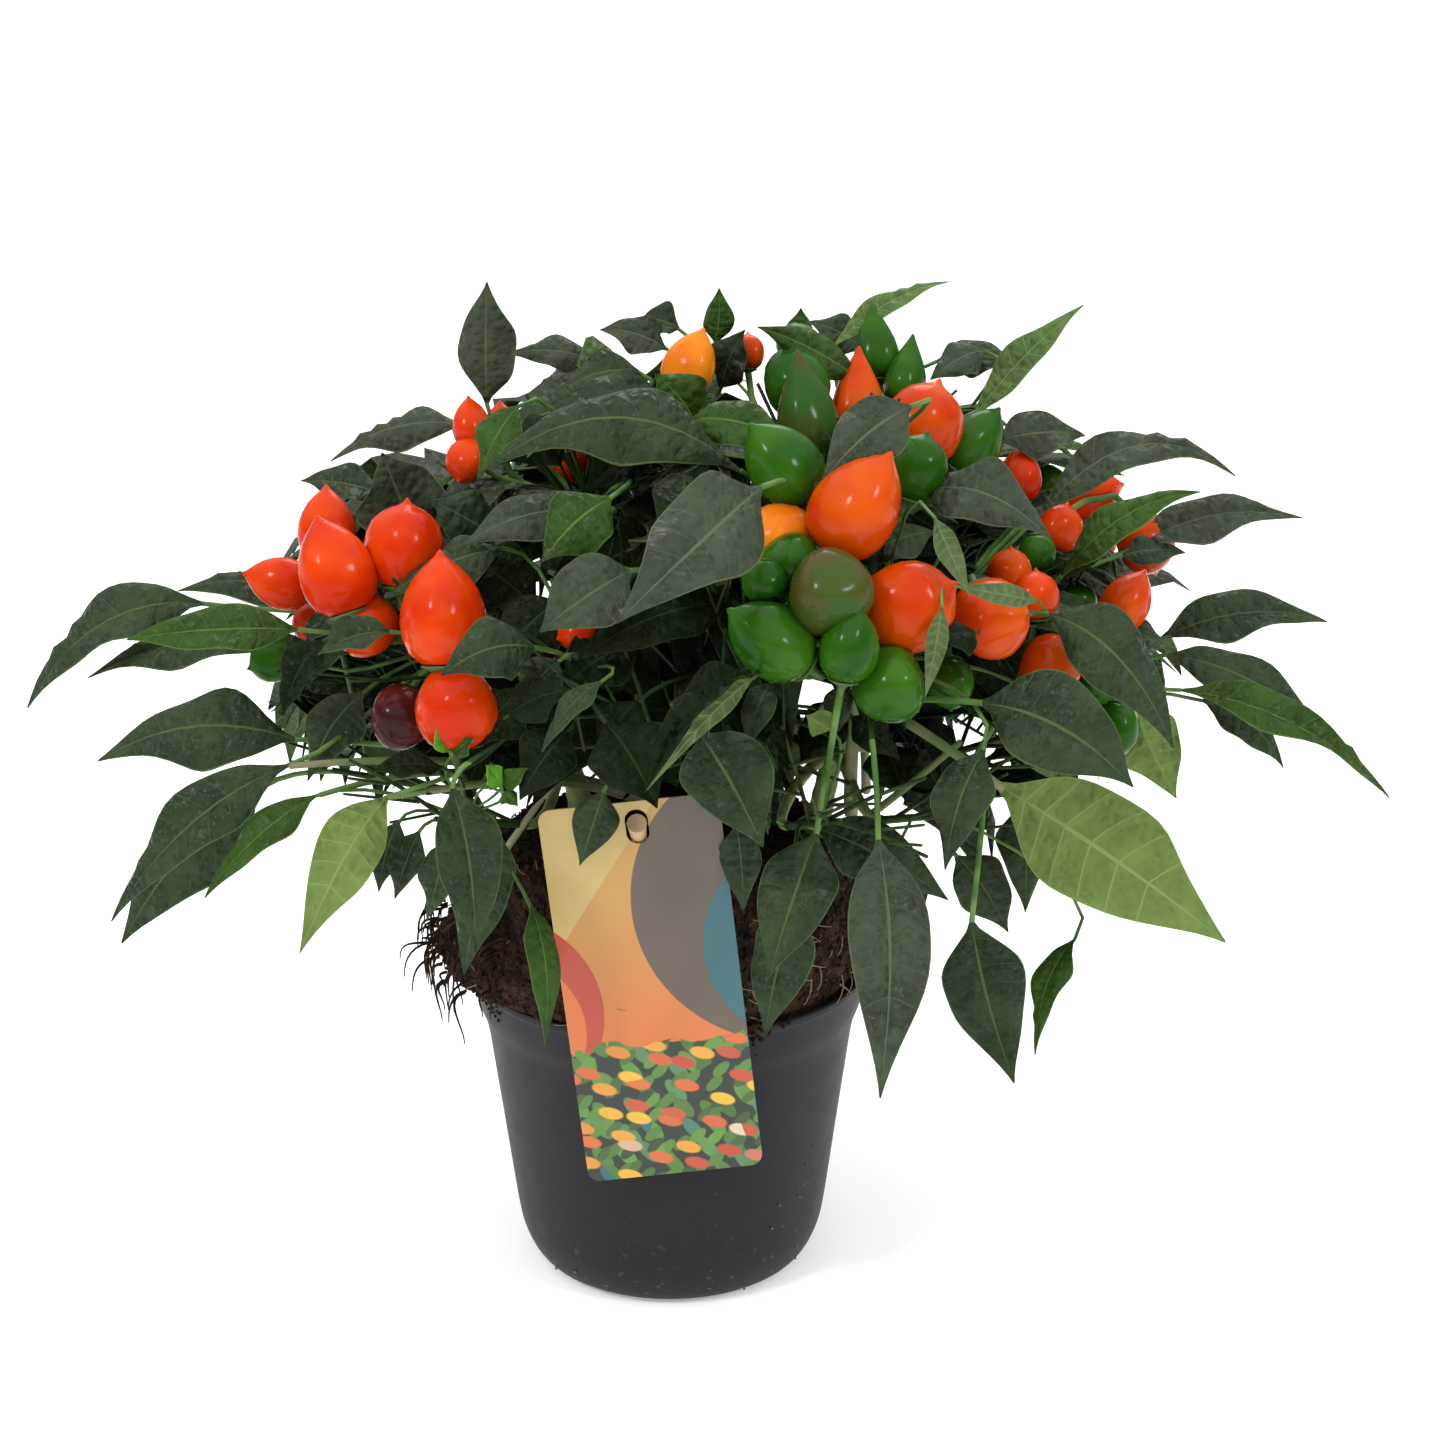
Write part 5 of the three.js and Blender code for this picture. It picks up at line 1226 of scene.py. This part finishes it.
peatPoints = []
for z, radius, lean, rough in peatSettings["levels"]:
    for s in range(peatSettings["sides"]):
        bearing = 360 * s / peatSettings["sides"]
        out = radius + lean * spill(bearing)
        x, y = out * math.cos(radians(bearing)), out * math.sin(radians(bearing))
        push = lumps(x, y, z) * rough
        lowest, highest = peatSettings["loose"]
        sideways = 1 if lowest < z < highest else peatSettings["packed"]
        swell = 1 + sideways * push / max(out, peatSettings["stiff"])
        peatPoints.append((x * swell, y * swell, z + push * (1 - sideways) * peatSettings["upward"]))
peatSkin = Finish("peat_brown", {"Roughness": 0.95, "Specular IOR Level": 0.15})
clods = peatSkin.noise(160, 5, 0.65)
fineGrain = peatSkin.noise(700, 3, 0.7)
darkPeat = peatSkin.blend(peatSkin.steps(clods, 0.35, 0.68), (0.008, 0.005, 0.0035), (0.055, 0.028, 0.015))
peatSkin.wear({
    "Base Color": peatSkin.blend(peatSkin.steps(fineGrain, 0.6, 0.72) * 0.5, darkPeat, (0.16, 0.09, 0.045)),
    "Normal": peatSkin.relief(fineGrain * 0.4 + clods, 0.9, 0.003),
})
peatHeap = Heap()
peatHeap.add(peatPoints, tube(len(peatSettings["levels"]), peatSettings["sides"]), 0)
peat = keep(peatHeap.build("peat_ball", [peatSkin.material]), "peat", "root_ball")


def crumbGround(name, patches):  # on the pot's wall: bearing, width, lowest and highest
    mesh = bpy.data.meshes.new(name + "_ground")
    corners, quads = [], []
    for bearing, width, lowest, highest in patches:
        for side, level in ((-1, lowest), (1, lowest), (1, highest), (-1, highest)):
            out = np.interp(level, *zip(*peatSettings["edge"])) + 0.5
            halfTurn = width / out * 28.6  # of degrees, for half the width
            corners.append((toward(bearing + side * halfTurn, 0) * out + (0, 0, level)) * mm)
        quads.append(tuple(range(len(corners) - 4, len(corners))))
    mesh.from_pydata(corners, [], quads)
    return mesh


def randomVector(nodes, values):
    draw = nodes.node("FunctionNodeRandomValue", {"data_type": "FLOAT_VECTOR"})
    nodes.fill({s.name: s for s in draw.made.inputs if s.type == "VECTOR" or s.name == "Seed"}, values)
    return Wire(nodes, next(s for s in draw.made.outputs if s.type == "VECTOR"))


def crumbTree():
    nodes, given = growTree("crumbs", {
        "Count": "Float", "Small": "Float", "Large": "Float", "Lowest": "Float", "Material": "Material"})
    where = nodes.node("GeometryNodeInputPosition").out()
    z = nodes.node("ShaderNodeSeparateXYZ", {}, {0: where}).out("Z")
    bare = nodes.node("GeometryNodeDeleteGeometry", {"domain": "FACE"}, {
        "Geometry": given.out("Geometry"), "Selection": z < given.out("Lowest")}).out()
    spread = nodes.node("GeometryNodeDistributePointsOnFaces", {}, {
        "Mesh": bare, "Density": given.out("Count"), "Seed": 7})
    ball = nodes.node("GeometryNodeMeshIcoSphere", {}, {"Radius": 1.0, "Subdivisions": 1})
    scale = randomVector(nodes, {"Min": given.out("Small"), "Max": given.out("Large")})
    angle = randomVector(nodes, {"Max": (6.28, 6.28, 6.28), "Seed": 3})
    laid = nodes.node("GeometryNodeInstanceOnPoints", {}, {
        "Points": spread.out("Points"), "Instance": ball.out("Mesh"), "Rotation": angle,
        "Scale": scale}).out()
    closeTree(nodes, laid, given.out("Material"))
    return nodes


crumbing = crumbTree()
crumbSkin = plainSkin("crumb_tan", {"Roughness": 0.95, "Specular IOR Level": 0.1}, 500,
                      (0.05, 0.025, 0.012), (0.3, 0.19, 0.11))
for name, ground, density, foot, sizes, material in (
        ("peat_crumbs", peat.data.copy(), peatSettings["crumbs"] / peatSettings["crumbArea"],
         peatSettings["crumbFoot"], peatSettings["crumbSize"], peatSkin.material),
        ("spilt_crumbs", crumbGround("spilt", peatSettings["spills"]), peatSettings["spillDensity"], 0,
         peatSettings["spillSize"], peatSkin.material),
        ("stuck_crumbs", crumbGround("stuck", peatSettings["stuck"]), peatSettings["stuckDensity"], 0,
         peatSettings["stuckSize"], crumbSkin)):
    keep(runTree(name, crumbing, {
        "Count": density, "Small": sizes[0] * mm * 0.5, "Large": sizes[1] * mm * 0.5, "Lowest": foot * mm,
        "Material": material}, ground), "peat")
fibreSkin = plainSkin("fibre_straw", {"Roughness": 0.8}, 300, (0.1, 0.055, 0.025), (0.36, 0.24, 0.12))
looseLevels = [level[:2] for level in peatSettings["levels"][4:14]]
fibres = []
for n in range(peatSettings["fibres"]):
    bearing = 360 * chance(n, 1, 41)
    z = between(peatSettings["fibreLevels"], n, 1, 42)
    spilt = spill(bearing) * np.interp(z, [136, 149, 193], [0.75, 1, 0])
    out = np.interp(z, *zip(*looseLevels)) + spilt + 1.2
    start = toward(bearing, 0) * out + (0, 0, z)
    away = unit(start * (1, 1, 0))
    side = np.cross((0, 0, 1), away)
    span = between(peatSettings["fibreSpans"], n, 1, 43)
    lean = between((-1, 1), n, 1, 44)
    end = start + side * span * lean + away * 1.5 + np.array([0, 0, -span * 0.7 * chance(n, 1, 45)])
    middle = (start + end) / 2 + away * span * 0.22
    fibres.append(graded(curve([start, middle, end], 6), *peatSettings["fibreRadii"]))
keep(sweep("peat_fibres", fibres, fibreSkin, 4), "peat")
beard, roots = peatSettings["beard"], []
for n in range(beard["count"]):  # dark fibres that hang over the rim
    bearing, z = between(beard["bearings"], n, 0, 46), between(beard["levels"], n, 1, 46)
    outward = toward(bearing, 0)
    start = (np.interp(z, *zip(*beard["wall"])) + spill(bearing)) * outward + (0, 0, z)
    swing = toward(bearing + between(beard["aside"], n, 1, 47), between(beard["falls"], n, 1, 48))
    span = between(beard["spans"], n, 1, 49)
    corners = [start, start + outward * span * 0.7, start + swing * span,
               start + swing * span - (0, 0, span * 0.5)]
    roots.append(graded(curve(corners, 9), *beard["radii"]))
keep(sweep("peat_beard", roots, peatSkin.material, 5), "peat")
print("peat")

# The tag and its peg

tagSettings = {"width": 71, "height": 160, "thick": 0.9, "corner": 5, "tilt": -6.5,
               "middle": (-5.3, -85.85, 154.8), "slot": (9, 14), "slotPlace": (2.5, 69.5), "arc": 8,
               "bevel": 0.15, "blur": 0.25, "fade": (-40, 60), "sandSlope": 1.3, "sandEdge": (66, 0.3),
               "waves": (60, 18), "bedEdge": (-12, 0.4), "shadowEdge": (-14, 0.4)}


def cornerLine(width, height, radius, middle=(0, 0)):  # a rounded rectangle, counter-clockwise
    points = []
    for quarter, (sx, sz) in enumerate(((1, 1), (-1, 1), (-1, -1), (1, -1))):
        cx, cz = middle[0] + sx * (width / 2 - radius), middle[1] + sz * (height / 2 - radius)
        for k in range(tagSettings["arc"] + 1):
            angle = radians(90 * (quarter + k / tagSettings["arc"]))
            points.append((cx + radius * math.cos(angle), cz + radius * math.sin(angle)))
    return points


def tagPlace(x, y, z):
    angle = radians(tagSettings["tilt"])
    cx, cy, cz = tagSettings["middle"]
    return (cx + x * math.cos(angle) + z * math.sin(angle), cy + y,
            cz - x * math.sin(angle) + z * math.cos(angle))


tagWide, tagTall = tagSettings["width"], tagSettings["height"]
slotWide, slotTall = tagSettings["slot"]
outer = cornerLine(tagWide, tagTall, tagSettings["corner"])
inner = cornerLine(slotWide, slotTall, slotWide / 2 - 0.2, tagSettings["slotPlace"])
face, bevel = tagSettings["thick"] / 2, tagSettings["bevel"]
tagPoints = []
for y, inset in ((-face, bevel), (-face + bevel, 0), (face - bevel, 0), (face, bevel)):
    for x, z in outer:
        tagPoints.append(tagPlace(x * (1 - inset / tagWide * 2), y, z * (1 - inset / tagTall * 2)))
tagPoints += [tagPlace(x, y, z) for y in (face, -face) for x, z in inner]
tagFaces, rings, count = [], 6, len(outer)
for ring in range(rings):
    for k in range(count):
        after = (k + 1) % count
        a, b = ring * count + k, ring * count + after
        c, d = (ring + 1) % rings * count + after, (ring + 1) % rings * count + k
        tagFaces.append((a, b, c, d))
tagSkin = Finish("tag_print", {"Roughness": 0.35, "Coat Weight": 0.15})
tagX, _, tagZ = tagSkin.axes()
offX, offZ = tagX - tagSettings["middle"][0] * mm, tagZ - tagSettings["middle"][2] * mm
tagTurn = radians(tagSettings["tilt"])
tagAcross = (offX * math.cos(tagTurn) - offZ * math.sin(tagTurn)) * 1000  # in mm, as the settings are
tagUp = (offX * math.sin(tagTurn) + offZ * math.cos(tagTurn)) * 1000


def softStep(value, edge, width):
    return tagSkin.steps(value, edge - width, edge + width)


def disc(cx, cz, size):
    off = ((tagAcross - cx) * (tagAcross - cx) + (tagUp - cz) * (tagUp - cz)) ** 0.5
    return tagSkin.steps(off, size + tagSettings["blur"], size - tagSettings["blur"])


tagColours = {"ochre": (0.46, 0.26, 0.06), "orange": (0.58, 0.14, 0.03), "brown": (0.1, 0.075, 0.05),
              "teal": (0.02, 0.11, 0.13), "cream": (0.6, 0.5, 0.32), "red": (0.42, 0.05, 0.02),
              "green": (0.1, 0.24, 0.03), "sand": (0.5, 0.36, 0.12), "night": (0.012, 0.022, 0.012),
              "yellow": (0.7, 0.42, 0.03), "leaf": (0.04, 0.11, 0.02)}
tagDiscs = [((58, 34, 62), "brown"), ((66, 14, 44), "teal"), ((-64, -4, 44), "red"),
            ((-62, -12, 34), "orange")]
tagSeeds = [((0.15, 35, 0.45, 0.4), ["green", "leaf", "green", "teal"]),
            ((0.17, -50, 0.5, 0.36), ["leaf", "green", "night"]),
            ((0.12, 70, 0.5, 0.3), ["red", "orange", "yellow", "orange", "red", "cream"])]
waveScale, waveSize = tagSettings["waves"]
wavy = tagUp + tagSkin.noise(waveScale, 2) * waveSize
bedGround = 1 - softStep(wavy, *tagSettings["bedEdge"])


def seeds(scale, lean, stretch, size, colours):  # a bed of seeds, one to a cell, in a run of colours
    sine, cosine = math.sin(radians(lean)), math.cos(radians(lean))
    place = tagSkin.node("ShaderNodeCombineXYZ", {}, {
        "X": tagAcross * cosine + tagUp * sine, "Y": (tagUp * cosine - tagAcross * sine) * stretch}).out()
    cells = tagSkin.node("ShaderNodeTexVoronoi", {"voronoi_dimensions": "2D"}, {
        "Vector": place, "Scale": scale})
    pick = tagSkin.node("ShaderNodeSeparateColor", {}, {0: cells.out("Color")}).out(0)
    run = [(k / (len(colours) - 1), tagColours[name]) for k, name in enumerate(colours)]
    ramp = tagSkin.node("ShaderNodeValToRGB", {"stops": run}, {"Fac": pick}).out("Color")
    return tagSkin.steps(cells.out("Distance"), size + 0.04, size - 0.04) * bedGround, ramp


fade = tagSkin.steps(tagUp, *tagSettings["fade"])
tagColour = tagSkin.blend(fade, tagColours["orange"], tagColours["ochre"])
slope = softStep(tagUp - tagAcross * tagSettings["sandSlope"], *tagSettings["sandEdge"])
tagColour = tagSkin.blend(slope, tagColour, tagColours["sand"])
for place, name in tagDiscs:
    tagColour = tagSkin.blend(disc(*place), tagColour, tagColours[name])
shadow = 1 - softStep(wavy, *tagSettings["shadowEdge"])
tagColour = tagSkin.blend(shadow, tagColour, tagColours["night"])
for bed, names in tagSeeds:
    share, run = seeds(*bed, names)
    tagColour = tagSkin.blend(share, tagColour, run)
tagSkin.wear({"Base Color": tagColour, "Roughness": tagSkin.noise(400, 2) * 0.15 + 0.28,
              "Normal": tagSkin.relief(tagSkin.noise(500, 2), 0.05, 0.0003)})
tagHeap = Heap()
tagHeap.add(tagPoints, tagFaces, 0, [True] * len(tagFaces))
keep(tagHeap.build("label_card", [tagSkin.material]), "tag_card", "tag")

peg = {"line": [(-10.7, -89, 226.5), (-10.7, -86, 224), (-10.2, -80, 217), (-9, -72, 207), (-7.4, -66, 197)],
       "radii": (4, 2), "sides": 12}
pegSkin = Finish("peg_beech", {"Roughness": 0.6})
pegGrain = pegSkin.noise(400, 3)
pegSkin.wear({"Base Color": pegSkin.blend(pegGrain, (0.45, 0.3, 0.15), (0.62, 0.46, 0.26)),
              "Normal": pegSkin.relief(pegGrain, 0.2, 0.0003)})
pegLine = graded(curve(peg["line"], 12), *peg["radii"])
keep(sweep("label_peg", [pegLine], pegSkin.material, peg["sides"]), "peg_wood", "tag_peg")
print("tag and peg")

# Fruit: templates turned on the lathe, set at their places with the nose outward

fruitShapes = {
    "round": [(0, -0.46), (0.14, -0.47), (0.29, -0.43), (0.41, -0.32), (0.48, -0.16), (0.5, 0.02),
              (0.48, 0.19), (0.42, 0.34), (0.32, 0.45), (0.21, 0.52), (0.11, 0.56), (0.055, 0.595),
              (0.025, 0.64), (0, 0.66)],
    "pointed": [(0, -0.5), (0.14, -0.51), (0.29, -0.46), (0.41, -0.35), (0.48, -0.18), (0.5, 0.0),
                (0.475, 0.19), (0.41, 0.36), (0.32, 0.51), (0.22, 0.62), (0.13, 0.7), (0.065, 0.755),
                (0.03, 0.81), (0, 0.83)],
    "blunt": [(0, -0.47), (0.14, -0.48), (0.29, -0.44), (0.41, -0.33), (0.48, -0.17), (0.5, 0.02),
              (0.48, 0.2), (0.42, 0.35), (0.32, 0.45), (0.2, 0.5), (0.08, 0.51), (0, 0.512)],
    "long": [(0, -0.6), (0.16, -0.61), (0.32, -0.55), (0.44, -0.42), (0.5, -0.22), (0.49, 0.0), (0.43, 0.24),
             (0.34, 0.46), (0.24, 0.66), (0.15, 0.82), (0.08, 0.95), (0.035, 1.05), (0, 1.08)],
}
calyxShape = [(0, -0.78), (0.06, -0.77), (0.06, -0.64), (0.09, -0.56), (0.18, -0.525), (0.27, -0.48),
              (0.28, -0.46), (0.24, -0.45), (0, -0.44)]
fruitLook = {"sides": 24, "lobes": 0.05, "calyxSides": 15, "calyxLobes": 0.06}
ripeColours = {
    "r": [(0.49, 0.02, 0.001), (0.62, 0.052, 0.002)], "o": [(0.45, 0.03, 0.001), (0.56, 0.072, 0.002)],
    "a": [(0.66, 0.13, 0.004), (0.76, 0.24, 0.008)], "g": [(0.011, 0.066, 0.0025), (0.034, 0.118, 0.005)],
    "t": [(0.02, 0.08, 0.008), (0.07, 0.05, 0.012)], "p": [(0.028, 0.007, 0.007), (0.12, 0.012, 0.008)],
}


def settingTree():
    nodes, given = growTree("setting", {"Shape": "Object", "Material": "Material"})
    shape = nodes.node("GeometryNodeObjectInfo", {"transform_space": "ORIGINAL"}, {
        "Object": given.out("Shape")}).out("Geometry")
    spots = nodes.node("GeometryNodeMeshToPoints", {}, {"Mesh": given.out("Geometry")}).out()
    aimed = nodes.node("FunctionNodeAlignRotationToVector", {"axis": "Z"}, {
        "Vector": nodes.attribute("nose", "FLOAT_VECTOR")}).out()
    own = nodes.node("FunctionNodeAxisAngleToRotation", {}, {"Angle": nodes.attribute("spin")}).out()
    whole = nodes.node("FunctionNodeRotateRotation", {"rotation_space": "LOCAL"}, {
        "Rotation": aimed, "Rotate By": own}).out()
    laid = nodes.node("GeometryNodeInstanceOnPoints", {}, {
        "Points": spots, "Instance": shape, "Rotation": whole, "Scale": nodes.attribute("size")}).out()
    closeTree(nodes, laid, given.out("Material"))
    return nodes


setting = settingTree()


def setOut(name, spots, shape, material):
    mesh = bpy.data.meshes.new(name + "_spots")
    mesh.from_pydata([tuple(s["middle"] * mm) for s in spots], [], [])
    for label, kind, values in (("nose", "FLOAT_VECTOR", [s["nose"] for s in spots]),
                                ("size", "FLOAT", [s["width"] for s in spots]),
                                ("spin", "FLOAT", [radians(s["spin"]) for s in spots])):
        data = mesh.attributes.new(label, kind, "POINT").data
        data.foreach_set("vector" if kind == "FLOAT_VECTOR" else "value",
                         np.array(values, np.float32).reshape(-1))
    return runTree(name, setting, {"Shape": shape, "Material": material}, mesh)


calyxSkin = plainSkin("calyx_green", {"Roughness": 0.5}, 500, (0.03, 0.08, 0.015), (0.07, 0.14, 0.03))
templates = {name: lathe("fruit_" + name, profile, fruitLook["sides"], None, fruitLook["lobes"])
             for name, profile in fruitShapes.items()}
calyx = lathe("calyx", calyxShape, fruitLook["calyxSides"], None, fruitLook["calyxLobes"])
for ripeness, (deepColour, brightColour) in ripeColours.items():
    fruitSkin = Finish("fruit_" + ripeness, {"Roughness": 0.17, "Specular IOR Level": 0.12})
    share = fruitSkin.steps(fruitSkin.noise(45, 2), 0.3, 0.75)
    fruitSkin.wear({"Base Color": fruitSkin.blend(share, deepColour, brightColour),
                    "Normal": fruitSkin.relief(fruitSkin.noise(55, 2), 0.3, 0.003)})
    for name, template in templates.items():
        some = [s for s in fruitSpots if (s["ripeness"], s["shape"]) == (ripeness, name)]
        if some:
            keep(setOut("fruit_%s_%s" % (ripeness, name), some, template, fruitSkin.material), "fruit_skin")
bases = {"round": 0, "blunt": 0.01, "pointed": 0.035, "long": 0.13}
caps = [{**s, "middle": s["middle"] - s["nose"] * s["width"] * bases[s["shape"]]} for s in fruitSpots]
keep(setOut("calyces", caps, calyx, calyxSkin), "foliage")
for template in [*templates.values(), calyx]:
    bpy.data.objects.remove(template)
print("fruit: %d" % len(fruitSpots))

# Floor, lights and camera

stageSettings = {
    "floor": 20, "floorLevel": -0.0005, "horizon": 0.2, "zenith": 1.62, "rise": (0.1, 0.8), "haze": 0.09,
    "far": 0.7, "lens": 66.5, "sensor": 36, "aim": (0, 0, 0.25),
}
softboxes = {  # place, size and power
    "softbox_left": ((-1.1, -1.3, 1.6), 0.28, 14), "softbox_right": ((1.3, -1.1, 1.3), 0.28, 8),
    "softbox_back": ((0.2, 1.4, 1.7), 0.9, 8),
}


def onStage(name, data):
    made = bpy.data.objects.new(name, data)
    bpy.context.scene.collection.objects.link(made)
    return made


floorMesh = bpy.data.meshes.new("floor")
reach, level = stageSettings["floor"], stageSettings["floorLevel"]
floorMesh.from_pydata([(-reach, -reach, level), (reach, -reach, level), (reach, reach, level),
                       (-reach, reach, level)], [], [(0, 1, 2, 3)])
floorLook = {"Roughness": 0.9, "Specular IOR Level": 0.1, "Emission Color": (1, 1, 1, 1),
             "Emission Strength": 0.3}
floorMesh.materials.append(plainSkin("floor_pale", floorLook, 3, (0.88, 0.88, 0.88), (0.9, 0.9, 0.9)))
onStage("floor", floorMesh)

for name, (place, size, power) in softboxes.items():
    softbox = bpy.data.lights.new(name, "AREA")
    softbox.shape = "SQUARE"
    softbox.size = size
    softbox.energy = power
    lamp = onStage(name, softbox)
    lamp.location = place
    lamp.rotation_euler = (Vector(stageSettings["aim"]) - Vector(place)).to_track_quat("-Z", "Y").to_euler()

world = bpy.data.worlds.new("studio")
world.use_nodes = True
sky = Nodes(world.node_tree)
skyUp = sky.node("ShaderNodeSeparateXYZ", {}, {0: sky.node("ShaderNodeTexCoord").out("Generated")}).out("Z")
glow = sky.node("ShaderNodeMapRange", {"interpolation_type": "SMOOTHSTEP"}, {
    "Value": skyUp, "From Min": stageSettings["rise"][0], "From Max": stageSettings["rise"][1],
    "To Min": stageSettings["horizon"], "To Max": stageSettings["zenith"]}).out("Result")
glow = glow + (skyUp < stageSettings["haze"]) * stageSettings["far"]
skyLight = sky.node("ShaderNodeBackground", {}, {"Color": (1, 1, 1, 1), "Strength": glow}).out()
sky.node("ShaderNodeOutputWorld", {}, {"Surface": skyLight})
bpy.context.scene.world = world
bpy.context.scene.view_settings.view_transform = "Standard"

view = bpy.data.cameras.new("front_view")
view.lens = stageSettings["lens"]
view.sensor_width = stageSettings["sensor"]
camera = onStage("front_view", view)
camera.location = eye * mm
camera.rotation_euler = (radians(90 - lookDown), 0, 0)
bpy.context.scene.camera = camera
